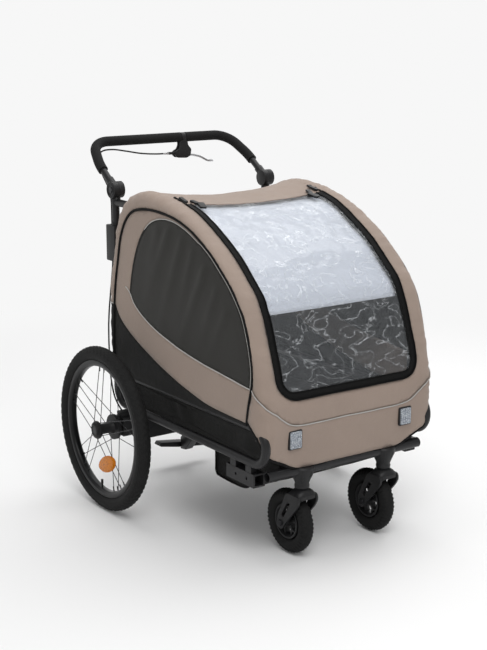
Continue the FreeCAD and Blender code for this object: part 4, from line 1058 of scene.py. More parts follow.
def tyre(name, centre, radius, section, slot, body, steps, profile, material):
    """A tyre; profile(angle round its section, step) gives the tread's height."""
    sides = 44
    ring = radius - section
    points = []
    for i in range(steps):
        turn = 2 * math.pi * i / steps
        for k in range(sides):
            around = 2 * math.pi * k / sides
            r = section + profile(around, i)
            out = ring + r * math.cos(around)
            points.append(Vector(centre) + Vector((r * math.sin(around), out * math.cos(turn),
                                                   out * math.sin(turn))))
    faces = []
    for i in range(steps):
        j = (i + 1) % steps
        for k in range(sides):
            m = (k + 1) % sides
            faces.append((i * sides + k, i * sides + m, j * sides + m, j * sides + k))
    bm = bmesh.new()
    verts = [bm.verts.new(p) for p in points]
    for face_ids in faces:
        bm.faces.new([verts[i] for i in face_ids])
    return from_bmesh(name, bm, slot, body, material, 50)


def road_tread(around, i):
    """Low blocks in rows across a wide tread, with a smooth sidewall."""
    lean = abs((around + math.pi) % (2 * math.pi) - math.pi)
    if lean > 1.15:
        return -0.0012 - 0.0004 * (1 if 1.9 < lean < 2.1 else 0)
    row = int((lean + 0.14) / 0.285)
    shifted = (i + (3 if row % 2 else 0) + row) % 6
    groove = shifted < 2 or abs(((lean + 0.14) % 0.285) - 0.1425) > 0.105
    return -0.0016 if groove else 0.0


def knob_tread(around, i):
    """Small blocks with a row of shoulder knobs."""
    lean = abs((around + math.pi) % (2 * math.pi) - math.pi)
    if lean > 1.25:
        return -0.0016
    if lean > 0.85:
        return 0.0 if i % 4 < 2 else -0.0024
    row = int(lean / 0.28)
    return 0.0 if (i + 2 * row) % 4 < 2 and abs(lean % 0.28 - 0.14) < 0.115 else -0.0017


for word, side in SIDES:
    hub = Vector((side * WHEEL_X, AXLE_Y, AXLE.z))
    body = f"rear_wheel_{word}"
    made = tyre(f"road_tyre_{word}", hub, WHEEL_R, 0.0225, "tyre", body, 432, road_tread, TYRE)
    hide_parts(f"rear_tyre_{word}")
    rim_section = [
        (-0.0125, 0.2085), (-0.0112, 0.2085), (-0.0100, 0.2040), (-0.0070, 0.2032), (0.0070, 0.2032),
        (0.0100, 0.2040), (0.0112, 0.2085), (0.0125, 0.2085), (0.0134, 0.2060), (0.0132, 0.1990),
        (0.0122, 0.1950), (0.0095, 0.1916), (0.0050, 0.1900), (-0.0050, 0.1900), (-0.0095, 0.1916),
        (-0.0122, 0.1950), (-0.0132, 0.1990), (-0.0134, 0.2060),
    ]
    made = lathe(f"wheel_rim_{word}", rim_section, hub, "rim", body, steps=160, sharp=40)
    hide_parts(f"rear_rim_{word}")
    spokes = frame["nodes"][f"rear_spokes_{word}"]
    bm = bmesh.new()
    corners = np.array([v.co for v in spokes.data.vertices])
    offsets = corners - np.array(hub)
    reach = np.hypot(offsets[:, 1], offsets[:, 2])
    tips = corners[reach > 0.188]
    angles = np.arctan2(tips[:, 2] - hub.z, tips[:, 1] - hub.y)
    ends = []
    for angle in sorted(angles):
        if not ends or angle - ends[-1][-1] > 0.04:
            ends.append([angle])
        else:
            ends[-1].append(angle)
    for group in ends:
        angle = sum(group) / len(group)
        near = tips[np.abs(angles - angle) < 0.03]
        x = float(near[:, 0].mean())
        outer_end = Vector((x, hub.y + 0.1925 * math.cos(angle), hub.z + 0.1925 * math.sin(angle)))
        inner_end = Vector((x, hub.y + 0.1760 * math.cos(angle), hub.z + 0.1760 * math.sin(angle)))
        turn = (outer_end - inner_end).to_track_quat("Z", "X").to_matrix().to_4x4()
        bmesh.ops.create_cone(
            bm, cap_ends=True, segments=8, radius1=0.0017, radius2=0.0024, depth=0.0165,
            matrix=Matrix.Translation((outer_end + inner_end) / 2) @ turn,
        )
    from_bmesh(f"spoke_nipples_{word}", bm, "spoke_steel", body)
    valve = [(-0.016, 0), (-0.016, 0.0028), (-0.004, 0.0030), (-0.003, 0.0038), (0.010, 0.0038), (0.010, 0)]
    lathe(f"valve_{word}", valve, hub + Vector((0, 0.02, -0.176)), "button_plastic", body, "Z", 16, False,
          BLACK_PLASTIC)
    for label, inner_x, radius in (("outer", 0.030, 0.0245), ("cap", 0.0335, 0.0165)):
        ring = [(inner_x - 0.003, radius - 0.002), (inner_x, radius - 0.002),
                (inner_x + 0.0008, radius - 0.001), (inner_x, radius), (inner_x - 0.003, radius)]
        lathe(f"hub_{label}_ring_{word}", ring, hub, "hub_plastic", body, side=side, steps=48)
    low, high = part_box(f"spoke_reflector_{word}")
    centre = (low + high) / 2
    radial = (Vector((0, centre.y, centre.z)) - Vector((0, hub.y, hub.z))).normalized()
    tangent = Vector((0, -radial.z, radial.y))

    def oval(grow, steps=40):
        turns = [2 * math.pi * k / steps for k in range(steps)]
        return [((0.052 + grow) * math.cos(t), (0.0245 + grow) * math.sin(t)) for t in turns]

    def oval_place(shift):
        return lambda u, v, w: centre + tangent * u + radial * v + Vector((side * (shift + w), 0, 0))
    lens_piece = plate(f"reflector_oval_{word}", oval(-0.003), 0.006, oval_place(0.0015), "orange_lens",
                       body, 0.0022)
    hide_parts(f"spoke_reflector_{word}")
    plate(f"reflector_rim_{word}", oval(0.0), 0.004, oval_place(-0.001), "orange_lens", body, 0.0012)

for word, side in SIDES:
    low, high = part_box(f"caster_tyre_{word}")
    centre = (low + high) / 2
    radius = (high.z - low.z) / 2
    wheel = f"caster_wheel_{word}"
    made = tyre(f"knobbly_tyre_{word}", centre, radius, 0.022, "caster_rubber", wheel, 176, knob_tread,
                CASTER_RUBBER)
    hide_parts(f"caster_tyre_{word}")
    rim_section = [
        (-0.0150, 0.0500), (-0.0165, 0.0480), (-0.0160, 0.0445), (-0.0120, 0.0425), (-0.0080, 0.0405),
        (0.0080, 0.0405), (0.0120, 0.0425), (0.0160, 0.0445), (0.0165, 0.0480), (0.0150, 0.0500),
    ]
    rim = lathe(f"caster_rim_{word}", rim_section, centre, "caster_plastic", wheel, steps=72)
    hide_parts(f"caster_core_{word}")
    hub_section = [(-0.026, 0.0042), (-0.026, 0.0105), (-0.024, 0.0120), (-0.010, 0.0150), (0.010, 0.0150),
                   (0.024, 0.0120), (0.026, 0.0105), (0.026, 0.0042)]
    lathe(f"caster_hub_{word}", hub_section, centre, "caster_plastic", wheel, steps=40)
    for k in range(5):
        turn = 2 * math.pi * k / 5 + 0.3
        branch = [(0.0125, -0.0055), (0.0240, -0.0040), (0.0300, -0.0065), (0.0415, -0.0165),
                  (0.0428, -0.0120), (0.0340, -0.0010)]
        branch += [(u, -v) for u, v in reversed(branch)]
        plate(f"caster_spoke_{word}_{k}", branch, 0.017,
              (lambda t: lambda u, v, w: centre + Vector((w, u * math.cos(t) - v * math.sin(t),
                                                          u * math.sin(t) + v * math.cos(t))))(turn),
              "caster_plastic", wheel, 0.0012)


# ---- caster forks -------------------------------------------------------------------------

def round_off(points, radius, steps=5):
    """An outline with each corner rounded."""
    made = []
    count = len(points)
    for i, p in enumerate(points):
        p, before, after = Vector(p), Vector(points[i - 1]), Vector(points[(i + 1) % count])
        into, out = (p - before), (after - p)
        size = min(radius if not isinstance(radius, (list, tuple)) else radius[i],
                   into.length * 0.45, out.length * 0.45)
        start, end = p - into.normalized() * size, p + out.normalized() * size
        for k in range(steps + 1):
            t = k / steps
            made.append(tuple((1 - t) ** 2 * start + 2 * t * (1 - t) * p + t * t * end))
    return made


for word, side in SIDES:
    low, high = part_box(f"caster_fork_{word}")
    centre = middle(f"caster_tyre_{word}")
    pivot_y, x_mid = centre.y - 0.051, centre.x
    body = f"caster_{word}"
    arm = round_off([(-0.030, 0.170), (-0.026, 0.187), (0.026, 0.187), (0.036, 0.168), (0.0655, 0.108),
                     (0.0665, 0.082), (0.056, 0.075), (0.043, 0.076), (0.033, 0.092), (-0.020, 0.152)], 0.010)
    slot_hole = round_off([(0.008, 0.160), (0.022, 0.158), (0.048, 0.116), (0.038, 0.110)], 0.005)
    for label, way in (("outer", side), ("inner", -side)):
        made = plate(f"fork_arm_{label}_{word}", arm, 0.0068,
                     (lambda w: lambda u, v, h: Vector((x_mid + w * (0.0313 + h), pivot_y + u, v)))(way),
                     "caster_plastic", body, 0.0022, holes=[slot_hole])
        if label == "outer":
            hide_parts(f"caster_fork_{word}")
    bm = bmesh.new()
    rings = []
    levels = [(0.168, 0.0347, 0.030, 0.0), (0.176, 0.0350, 0.030, 0.0), (0.186, 0.0340, 0.028, -0.001),
              (0.1935, 0.0295, 0.0255, -0.001), (0.1985, 0.0220, 0.0215, -0.001),
              (0.2005, 0.0170, 0.0180, 0.0), (0.2012, 0.0120, 0.0120, 0.0)]
    for z, half_x, half_y, shift in levels:
        ring = []
        for k in range(36):
            a = 2 * math.pi * k / 36
            c, s = math.cos(a), math.sin(a)
            power = 0.55 if z < 0.19 else 0.8
            ring.append(bm.verts.new((x_mid + half_x * math.copysign(abs(c) ** power, c),
                                      pivot_y + shift + half_y * math.copysign(abs(s) ** power, s), z)))
        rings.append(ring)
    for lower, upper in zip(rings, rings[1:]):
        for k in range(36):
            bm.faces.new((lower[k], lower[(k + 1) % 36], upper[(k + 1) % 36], upper[k]))
    bm.faces.new(rings[-1])
    bm.faces.new(list(reversed(rings[0])))
    for v in rings[0]:
        inner = abs(v.co.x - x_mid) < 0.027
        v.co.z = 0.186 if inner else 0.168
    from_bmesh(f"fork_crown_{word}", bm, "caster_plastic", body, sharp=45)
    collar = [(0.2012, 0.0175), (0.2020, 0.0195), (0.2028, 0.0195), (0.2033, 0.0175), (0.2033, 0.0095),
              (0.2012, 0.0095)]
    base = Vector((x_mid, pivot_y, 0))
    lathe(f"stem_collar_{word}", collar, base, "bolt_steel", body, "Z", 40)
    shell = [(0.2040, 0.0092), (0.2040, 0.0190), (0.2050, 0.0203), (0.2120, 0.0208), (0.2150, 0.0196),
             (0.2190, 0.0200), (0.2300, 0.0245), (0.2440, 0.0305), (0.2540, 0.0335), (0.2620, 0.0330),
             (0.2665, 0.0300), (0.2665, 0.0092)]
    made = lathe(f"caster_socket_{word}", shell, base, "caster_plastic", "chassis", "Z", 56)
    if side < 0:
        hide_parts("caster_housings")
    for k in range(8):
        turn = 2 * math.pi * k / 8 + 0.2
        rib = [(0.0195, 0.2185), (0.0315, 0.2430), (0.0350, 0.2560), (0.0250, 0.2580)]
        plate(f"socket_rib_{word}_{k}", rib, 0.0024,
              (lambda t: lambda u, v, h: base + Vector((u * math.cos(t) - h * math.sin(t),
                                                        u * math.sin(t) + h * math.cos(t), v)))(turn),
              "caster_plastic", "chassis", 0.0006)
    for label, way in (("outer", side), ("inner", -side)):
        cap = [(0.0352, 0), (0.0352, 0.0092), (0.0368, 0.0098), (0.0385, 0.0090), (0.0392, 0.0065),
               (0.0392, 0.0)]
        lathe(f"caster_bolt_cap_{label}_{word}", cap, centre, "bolt_steel", body, steps=32, closed=False,
              side=way)


# ---- handle -------------------------------------------------------------------------------

for word, side in SIDES:
    head = middle(f"tilt_button_{word}")
    low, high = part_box("hinge_heads")
    face = max(abs(low.x), abs(high.x))
    centre = Vector((0, head.y, head.z))
    for radius, size in ((0.0215, 0.0010), (0.0165, 0.0008)):
        ring = [(face - 0.0012, radius - size), (face + 0.0007, radius - size), (face + 0.0010, radius),
                (face + 0.0007, radius + size), (face - 0.0012, radius + size)]
        lathe(f"knob_ring_{word}_{int(radius * 1e4)}", ring, centre, "caster_plastic", "handle",
              side=side, steps=56)


# ---- seat, harness, footwell and floor ----------------------------------------------------

def cushion_mesh(name, centre, half, rows, slot, crown, tilt=0.0, pull=0.012):
    """A crowned pad; its sides pull in between its corners."""
    nx, ny = rows
    bm = bmesh.new()
    grids = []
    for face_way in (1, -1):
        grid = []
        for i in range(nx + 1):
            line = []
            for j in range(ny + 1):
                u, v = 2 * i / nx - 1, 2 * j / ny - 1
                pinch = 1 - pull / half[1] * (1 - u * u), 1 - pull / half[0] * (1 - v * v)
                edge = (1 - abs(u) ** 5) * (1 - abs(v) ** 5)
                height = face_way * half[2] * (0.35 + 0.65 * edge ** 0.45)
                if face_way > 0:
                    height += crown * edge
                line.append((u * half[0] * pinch[1], v * half[1] * pinch[0], height))
            grid.append(line)
        grids.append(grid)
    turn = Matrix.Rotation(tilt, 4, "X")
    verts = [
        [[bm.verts.new(Vector(centre) + turn @ Vector(p)) for p in line] for line in grid] for grid in grids
    ]
    for g, way in ((0, 1), (1, -1)):
        for i in range(nx):
            for j in range(ny):
                quad = [verts[g][i][j], verts[g][i + 1][j], verts[g][i + 1][j + 1], verts[g][i][j + 1]]
                bm.faces.new(quad if way > 0 else list(reversed(quad)))
    rim = ([(i, 0) for i in range(nx)] + [(nx, j) for j in range(ny)]
           + [(i, ny) for i in range(nx, 0, -1)] + [(0, j) for j in range(ny, 0, -1)])
    for (a, b), (c, d) in zip(rim, rim[1:] + rim[:1]):
        bm.faces.new((verts[1][a][b], verts[1][c][d], verts[0][c][d], verts[0][a][b]))
    return from_bmesh(name, bm, slot, None, sharp=80)


def inflate(obj, cap, frames=20, voxel=0.0075, pressure=4.0):
    """Swells a closed pad with a cloth simulation and keeps its result as the mesh."""
    remesh = obj.modifiers.new("remesh", "REMESH")
    remesh.mode, remesh.voxel_size = "VOXEL", voxel
    apply_modifiers(obj)
    start = np.array([v.co for v in obj.data.vertices])
    sim = obj.modifiers.new("cloth", "CLOTH")
    sim.settings.use_pressure = True
    sim.settings.uniform_pressure_force = pressure
    sim.settings.effector_weights.gravity = 0
    sim.settings.mass = 0.3
    sim.settings.quality = 5
    sim.point_cache.frame_start, sim.point_cache.frame_end = 1, frames
    for number in range(1, frames + 1):
        bpy.context.scene.frame_set(number)
    apply_modifiers(obj)
    bpy.context.scene.frame_set(1)
    end = np.array([v.co for v in obj.data.vertices])
    move = end - start
    length = np.linalg.norm(move, axis=1)[:, None]
    end = start + move * np.minimum(1, cap / np.maximum(length, 1e-9))
    obj.data.vertices.foreach_set("co", end.ravel())
    smooth_faces(obj)
    return obj


def dent(obj, lines, axis, depth, width, facing):
    """Sewn channels: points near each line along an axis sink in against the facing direction."""
    facing = Vector(facing)
    for v in obj.data.vertices:
        for place in lines:
            v.co -= facing * depth * math.exp(-((v.co[axis] - place) / width) ** 2)


low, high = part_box("seat_cushion")
seat_mid, seat_half = (low + high) / 2, (high - low) / 2
seat_size = (seat_half.x - 0.008, seat_half.y - 0.008, seat_half.z - 0.012)
seat = cushion_mesh("seat_pad", seat_mid - Vector((0, 0, 0.004)), seat_size, (44, 32), "seat_cloth", 0.004)
inflate(seat, 0.010)
dent(seat, (0.0,), 0, 0.010, 0.006, (0, 0, 1))
dent(seat, (seat_mid.y - 0.05, seat_mid.y + 0.05), 1, 0.005, 0.005, (0, 0, 1))
seat.data.materials.clear()
seat.data.materials.append(SEAT_CLOTH)
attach(seat, "chassis")
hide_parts("seat_cushion")

low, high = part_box("seat_back")
lean = math.radians(-6.7)
back_mid = (low + high) / 2
back = cushion_mesh("seat_backrest", back_mid, (0.214, 0.208, 0.008), (44, 42), "seat_cloth", 0.003,
                    math.pi / 2 + lean, 0.008)
inflate(back, 0.006)
back.data.materials.clear()
back.data.materials.append(SEAT_CLOTH)
dent(back, (0.0,), 0, 0.006, 0.006, (0, -1, 0))
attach(back, "chassis")
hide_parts("seat_back")
soft(back)

for word, side in SIDES:
    for number, step in enumerate((-0.05, 0.05)):
        x = side * 0.115 + step
        line = [at(x, 0.030, 0.735), at(x, 0.018, 0.640), at(x * 0.99, 0.000, 0.520),
                at(x * 0.96, -0.018, 0.450), at(side * 0.115 + step * 0.45, -0.058, 0.395)]
        path = smooth_line([tuple(p) for p in line], 60)
        strap = sweep(f"harness_strap_{word}_{number}", path, 0.0125, "webbing", sides=8,
                      flat=((0, -1, 0.25), 0.0022))
        soft(strap)
        pad_path = smooth_line([tuple(p + Vector((0, -0.004, 0))) for p in line[1:3]], 24)
        widths = [0.020 + 0.004 * math.sin(math.pi * k / 23) for k in range(24)]
        pad = sweep(f"harness_pad_{word}_{number}", pad_path, widths, "webbing", sides=14,
                    flat=((0, -1, 0.15), 0.010), material=SEAT_CLOTH)
        soft(pad)
    plate(f"harness_buckle_{word}", round_off(rounded(0.024, 0.018, 0.008), 0.001, 2), 0.012,
          (lambda s: lambda u, v, w: at(s * 0.115 + u, -0.060 - w * 0.9 + v * 0.4, 0.382 + v))(side),
          "webbing", "chassis", 0.003, material=BLACK_PLASTIC)
    crotch = smooth_line([tuple(at(side * 0.115, -0.060, 0.376)), tuple(at(side * 0.115, -0.075, 0.369)),
                          tuple(at(side * 0.115, -0.110, 0.366))], 24)
    sweep(f"harness_crotch_{word}", crotch, 0.0125, "webbing", sides=8, flat=((0, -0.3, 1), 0.0022))
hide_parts("harness")

# the footwell: a soft bag that hangs between the loops, higher at its front
WELL_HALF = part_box("footwell")[1].x
WELL_BOTTOM = [(-0.300, 0.156), (-0.340, 0.153), (-0.400, 0.152), (-0.455, 0.157), (-0.478, 0.172),
               (-0.500, 0.200), (-0.540, 0.208), (-0.585, 0.214), (-0.610, 0.226)]
bottom_line = smooth_line(WELL_BOTTOM, 70)
WELL_TOP = 0.300


def well_points():
    """Points round the bag's profile: rear wall, bottom and front wall."""
    ring = [(-0.302, z) for z in np.linspace(WELL_TOP, 0.168, 16)] + list(map(tuple, bottom_line[2:-2]))
    ring += [(-0.612, z) for z in np.linspace(0.236, WELL_TOP, 9)]
    return smooth_line(ring, 130)


profile = well_points()
well_x = np.linspace(-WELL_HALF + 0.001, WELL_HALF - 0.001, 61)
points = []
for y, z in profile:
    for x in well_x:
        low_part = np.clip((WELL_TOP - z) / 0.1, 0, 1)
        sag = 0.004 * low_part * (1 - (x / WELL_HALF) ** 2)
        crease = 0.0028 * low_part * noise.noise(Vector((x * 14, y * 18, z * 18)))
        pull = 0.006 * low_part * (abs(x) / WELL_HALF) ** 6
        inward = pull * (1 if y < -0.45 else -1) * 0.6
        points.append(at(x * (1 - 0.02 * low_part), y + inward, z - sag + crease + pull))
columns = len(well_x)
faces = [(i * columns + j, (i + 1) * columns + j, (i + 1) * columns + j + 1, i * columns + j + 1)
         for i in range(len(profile) - 1) for j in range(columns - 1)]
well = piece("footwell_bag", points, faces, "black_cloth")
thicken(well, 0.0015, 0.0)
sheet(well)
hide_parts("footwell")
well_outline = [(y, z) for y, z in profile] + [(y, WELL_TOP) for y in np.linspace(-0.60, -0.31, 24)]
wall_flat, wall_tris = triangulate(np.array(well_outline), [], 0.010)
for word, side in SIDES:
    def wall(p):
        z = p[:, 1]
        middle_part = np.clip((WELL_TOP - z) / 0.15, 0, 1)
        x = WELL_HALF * 0.985 - 0.010 * middle_part * (1 - middle_part) * 2
        x = x + 0.003 * wobble(p, 16.0, 4.0 + side)
        return np.stack([side * x, p[:, 0] + AXLE_Y, z], axis=1)
    made = patch(f"footwell_side_{word}", wall_flat, wall_tris, slice(None), wall, "black_cloth", "chassis")
    thicken(made, 0.0015, 0.0)
    sheet(made, area=tri_area(wall_flat, wall_tris))
    hem = [tuple(at(side * WELL_HALF * 0.985, y, z)) for y, z in profile]
    sweep(f"footwell_hem_{word}", hem, 0.0028, "black_cloth", sides=8, material=BINDING)

# cloth that fills the side loops
low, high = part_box("side_loops")
LOOP_Z = (low.z + high.z) / 2
loop_rim = round_off([(-0.655, 0.376), (-0.655, 0.304), (0.095, 0.304), (0.095, 0.376)], 0.03, 8)
loop_flat, loop_tris = triangulate(np.array(loop_rim), [], 0.011)
for word, side in SIDES:
    def loop_cloth(p):
        y, z = p[:, 0], p[:, 1]
        inner = np.clip(1 - ((z - LOOP_Z) / 0.037) ** 2, 0, 1)
        folds = 0.004 * wobble(np.stack([y * 7, z * 16], axis=1), 1.0, 6.0 + side) * inner
        crease = 0.0028 * np.sin(y * 42 + 5 * wobble(p, 5.0, 1.0)) * inner
        x = 0.2855 - 0.010 * inner + folds + crease
        return np.stack([side * x, y + AXLE_Y, z], axis=1)
    made = patch(f"side_panel_{word}", loop_flat, loop_tris, slice(None), loop_cloth, "black_cloth", "chassis")
    thicken(made, 0.0014, 0.0)
    sheet(made)
    if side < 0:
        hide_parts("side_panels")

# the floor, with its cloth drawn over the lower rails
low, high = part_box("floor_panel")
floor_front, floor_rear = low.y - AXLE_Y, high.y - AXLE_Y
floor_rim = round_off([
    (low.x, floor_front), (high.x, floor_front), (high.x, floor_rear), (low.x, floor_rear),
], 0.02, 6)
floor_flat, floor_tris = triangulate(np.array(floor_rim), [], 0.014)


def floor_cloth(p):
    across = np.clip(1 - (p[:, 0] / 0.26) ** 2, 0, 1)
    along = np.clip(1 - ((p[:, 1] + 0.12) / 0.18) ** 2, 0, 1)
    z = low.z + 0.003 - 0.006 * across * along + 0.001 * wobble(p, 12.0, 3.0)
    return np.stack([p[:, 0], p[:, 1] + AXLE_Y, z], axis=1)


floor_piece = patch("floor_cloth", floor_flat, floor_tris, slice(None), floor_cloth, "black_cloth", "chassis")
thicken(floor_piece, 0.003, 0.0)
sheet(floor_piece)
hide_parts("floor_panel")


# ---- the brake cable ----------------------------------------------------------------------

CABLE_R = 0.0025
HANDLE_CABLE = [
    (0.024, 0.294, 1.023), (-0.024, 0.294, 1.024), (-0.078, 0.294, 1.029), (-0.132, 0.293, 1.039),
    (-0.182, 0.291, 1.047), (-0.222, 0.284, 1.045), (-0.250, 0.262, 1.031), (-0.265, 0.232, 1.011),
    (-0.273, 0.202, 0.990), (-0.2765, 0.176, 0.970),
]
HINGE_CABLE = [
    HANDLE_CABLE[-1], (-0.2765, 0.158, 0.952), (-0.2765, 0.145, 0.932), (-0.2765, 0.139, 0.908),
    (-0.2765, 0.138, 0.880),
]
HOOP_CABLE = [
    HINGE_CABLE[-1], (-0.2765, 0.138, 0.835), (-0.2765, 0.1382, 0.780), (-0.2765, 0.1386, 0.722),
    (-0.2765, 0.146, 0.675), (-0.2765, 0.157, 0.622), (-0.2765, 0.167, 0.570), (-0.2765, 0.173, 0.520),
]
AXLE_CABLE = [
    HOOP_CABLE[-1], (-0.2765, 0.174, 0.470), (-0.279, 0.168, 0.422), (-0.286, 0.153, 0.378),
    (-0.2945, 0.128, 0.340), (-0.3025, 0.098, 0.310), (-0.307, 0.066, 0.290), (-0.309, 0.040, 0.278),
]


def cable_part(name, route, node, body=None):
    path = smooth_line([tuple(at(*p)) for p in route], 20 * len(route))
    made = sweep(name, path, CABLE_R, "cable_sheath", body=body, sides=12)
    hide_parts(node)
    return made


cable_part("brake_cable_handle", HANDLE_CABLE, "handle_cable", "handle")
hinge_part = cable_part("brake_cable_hinge", HINGE_CABLE, "hinge_cable")
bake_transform(hinge_part)
cable_part("brake_cable_upright", HOOP_CABLE, "hoop_cable", "hoop")
axle_part = cable_part("brake_cable_axle", AXLE_CABLE, "axle_cable")
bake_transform(axle_part)
for number, z in enumerate((0.845, 0.71)):
    lathe(f"cable_tie_{number}", [(-0.003, 0.0118), (0.003, 0.0118), (0.003, 0.0134), (-0.003, 0.0134)],
          at(-0.2765, 0.112, z), "cable_sheath", "hoop", "Z", 36)


# ---- brake lever --------------------------------------------------------------------------

low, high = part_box("brake_lever")
lever_y = (low.y + high.y) / 2
lever_line = smooth_line([
    (low.x + 0.006, lever_y, high.z - 0.009), (low.x + 0.022, lever_y, high.z - 0.010),
    (low.x + 0.045, lever_y, high.z - 0.0125), (low.x + 0.070, lever_y, high.z - 0.019),
    (high.x - 0.022, lever_y, low.z + 0.0062), (high.x - 0.005, lever_y, low.z + 0.0052),
], 80)
widths = [0.0078 - 0.0030 * min(1.0, k / 30) + 0.0020 * max(0.0, (k - 62) / 17) for k in range(80)]
lever = sweep("brake_lever_blade", lever_line, widths, "lever_metal", "brake_lever", sides=14,
              flat=((0, 0, 1), 0.0078))
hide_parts("brake_lever")
end_ball = [(-0.0042, 0), (-0.0036, 0.0024), (-0.0020, 0.0038), (0, 0.0043), (0.0020, 0.0038),
            (0.0036, 0.0024), (0.0042, 0)]
lathe("brake_lever_ball", end_ball, Vector(lever_line[-1]), "lever_metal", "brake_lever", steps=24,
      closed=False)
pivot = [(-0.0085, 0), (-0.0085, 0.0032), (-0.0075, 0.0040), (0.0075, 0.0040), (0.0085, 0.0032), (0.0085, 0)]
lathe("brake_lever_pivot", pivot, Vector(lever_line[3]), "bolt_steel", "brake_lever", "Y", 24, False)
barrel = [(0, 0), (0, 0.0030), (0.004, 0.0045), (0.009, 0.0045), (0.010, 0.0036), (0.018, 0.0036),
          (0.020, 0.0028), (0.026, 0.0026), (0.026, 0)]
lathe("cable_barrel", barrel, at(0.030, 0.294, 1.023), "lever_metal", "handle", steps=24,
      closed=False, side=-1)


bracket = round_off([
    (0.064, 1.064), (0.091, 1.064), (0.094, 1.047), (0.106, 1.034), (0.103, 1.013), (0.088, 1.006),
    (0.054, 1.008), (0.044, 1.016), (0.045, 1.028), (0.060, 1.036), (0.065, 1.048),
], 0.004)
for label, way in (("front", -1), ("rear", 1)):
    plate(f"lever_bracket_{label}", bracket, 0.0062,
          lambda u, v, h: at(u, 0.294 + way * (0.0086 + h), v), "caster_plastic", "handle", 0.0016)


# ---- CAD pieces that stay, with their materials -------------------------------------------

ROUNDED = {
    "axle_brackets": 0.0015, "axle_beam": 0.002, "parking_pedal": 0.003,
    "lever_clamp": 0.0015, "fold_latch_left": 0.003, "fold_latch_right": 0.003, "hinge_bases": 0.0015,
    "hinge_heads": 0.0015, "fold_pivots": 0.001,
}
for name, node in frame["nodes"].items():
    if node.hide_render:
        continue
    slot = next(p["material_slot"] for p in frame["record"]["subparts"] if p["node"] == name)
    node.data.materials.clear()
    node.data.materials.append(SLOT_MATERIALS[slot])
    for polygon in node.data.polygons:
        polygon.use_smooth = True
        polygon.material_index = 0
    weld = node.modifiers.new("weld", "WELD")
    weld.merge_threshold = 0.00001
    if name in ROUNDED:
        bevel = node.modifiers.new("bevel", "BEVEL")
        bevel.width, bevel.segments, bevel.limit_method = ROUNDED[name], 2, "ANGLE"
        bevel.angle_limit = math.radians(50)
        bevel.use_clamp_overlap = True
    sharp = node.modifiers.new("sharp", "EDGE_SPLIT")
    sharp.split_angle = math.radians(38)


# ---- floor, light and camera --------------------------------------------------------------

scene = bpy.context.scene
scene.view_settings.view_transform = "Standard"
scene.view_settings.look = "None"

stage_mesh = bpy.data.meshes.new("studio_floor")
sweep_line = [(-14, 0.0)] + [(6 + 3 * math.sin(math.radians(a)), 3 - 3 * math.cos(math.radians(a)))
                             for a in range(0, 91, 6)] + [(9, 14)]
yaw = math.radians(35.12)
ahead = Vector((math.sin(yaw), math.cos(yaw), 0))
aside = Vector((math.cos(yaw), -math.sin(yaw), 0))
stage_points = [ahead * d + aside * w + Vector((0, 0, h)) for d, h in sweep_line for w in (-22, 22)]
stage_faces = [(2 * i, 2 * i + 1, 2 * i + 3, 2 * i + 2) for i in range(len(sweep_line) - 1)]
stage_mesh.from_pydata([tuple(p) for p in stage_points], [], stage_faces)
floor = bpy.data.objects.new("studio_floor", stage_mesh)
scene.collection.objects.link(floor)
for polygon in stage_mesh.polygons:
    polygon.use_smooth = True
paper = Nodes("studio_paper")
reach = paper.add("ShaderNodeVectorMath", operation="LENGTH")
paper.link(paper.place, reach.inputs[0])
fade = paper.add("ShaderNodeMapRange", interpolation_type="SMOOTHSTEP")
fade.inputs["From Min"].default_value, fade.inputs["From Max"].default_value = 1.3, 2.9
paper.link(reach.outputs["Value"], fade.inputs["Value"])
paper.colour(paper.ramp(fade.outputs["Result"], [(0.0, (0.86, 0.86, 0.86, 1)), (1.0, (0, 0, 0, 1))]))
paper.link(fade.outputs["Result"], paper.shader.inputs["Emission Strength"])
paper.shader.inputs["Emission Color"].default_value = (0.93, 0.93, 0.93, 1)
paper.set(Roughness=0.9, Specular_IOR_Level=0.0)
stage_mesh.materials.append(paper.material)

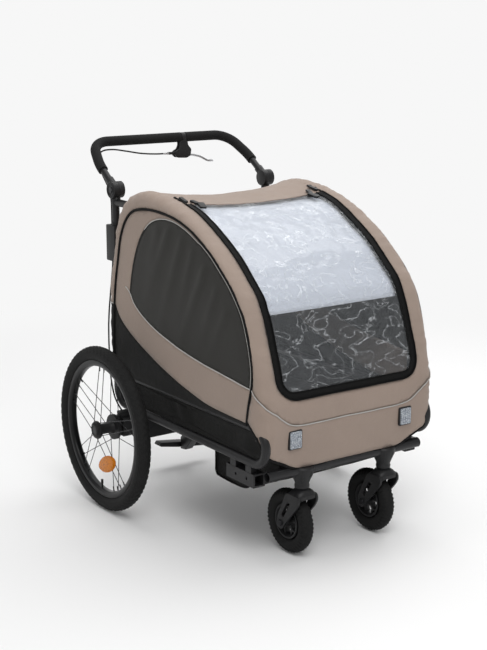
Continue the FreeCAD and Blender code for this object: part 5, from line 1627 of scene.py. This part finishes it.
wall_mesh = bpy.data.meshes.new("studio_wall")
wall_points, wall_faces = [], []
for k in range(48):
    turn = 2 * math.pi * k / 48
    wall_points += [(12.5 * math.cos(turn), 12.5 * math.sin(turn), h) for h in (-0.2, 12.0)]
    after = 2 * ((k + 1) % 48)
    wall_faces.append((2 * k, after, after + 1, 2 * k + 1))
wall_mesh.from_pydata(wall_points, [], wall_faces)
wall = bpy.data.objects.new("studio_wall", wall_mesh)
scene.collection.objects.link(wall)
glow = Nodes("studio_wall_paper")
glow.shader.inputs["Base Color"].default_value = (0, 0, 0, 1)
glow.shader.inputs["Emission Color"].default_value = (0.93, 0.93, 0.93, 1)
glow.shader.inputs["Emission Strength"].default_value = 1.0
glow.set(Roughness=1.0, Specular_IOR_Level=0.0)
wall_mesh.materials.append(glow.material)
wall.visible_diffuse = wall.visible_glossy = wall.visible_transmission = wall.visible_shadow = False

world = bpy.data.worlds.new("studio_light")
world.use_nodes = True
world.node_tree.nodes["Background"].inputs["Color"].default_value = (1.0, 1.0, 1.0, 1)
world.node_tree.nodes["Background"].inputs["Strength"].default_value = 0.5
scene.world = world


def area_light(name, place, target, size, power, colour=(1, 1, 1)):
    data = bpy.data.lights.new(name, "AREA")
    data.shape, data.size, data.size_y = "RECTANGLE", size[0], size[1]
    data.energy, data.color = power, colour
    lamp = bpy.data.objects.new(name, data)
    lamp.location = place
    lamp.rotation_mode = "QUATERNION"
    lamp.rotation_quaternion = (Vector(target) - Vector(place)).to_track_quat("-Z", "Y")
    scene.collection.objects.link(lamp)


area_light("key_light", (-1.2, -2.6, 3.6), (0, 0, 0.5), (2.2, 2.2), 70)
area_light("top_light", (0.6, 0.4, 3.8), (0, 0, 0.4), (3.0, 3.0), 62)
area_light("rim_light", (2.8, 1.6, 2.2), (0, 0, 0.5), (1.6, 2.4), 16)

camera_data = bpy.data.cameras.new("camera")
camera_data.sensor_width = 36
camera_data.sensor_fit = "AUTO"
camera_data.lens = 73.71
camera = bpy.data.objects.new("camera", camera_data)
camera.location = at(-2.249, -3.3585, 1.4489)
pitch = math.radians(13.01)
look = Vector((math.sin(yaw) * math.cos(pitch), math.cos(yaw) * math.cos(pitch), -math.sin(pitch)))
camera.rotation_mode = "QUATERNION"
camera.rotation_quaternion = look.to_track_quat("-Z", "Y")
camera_data.clip_end = 100
scene.collection.objects.link(camera)
scene.camera = camera
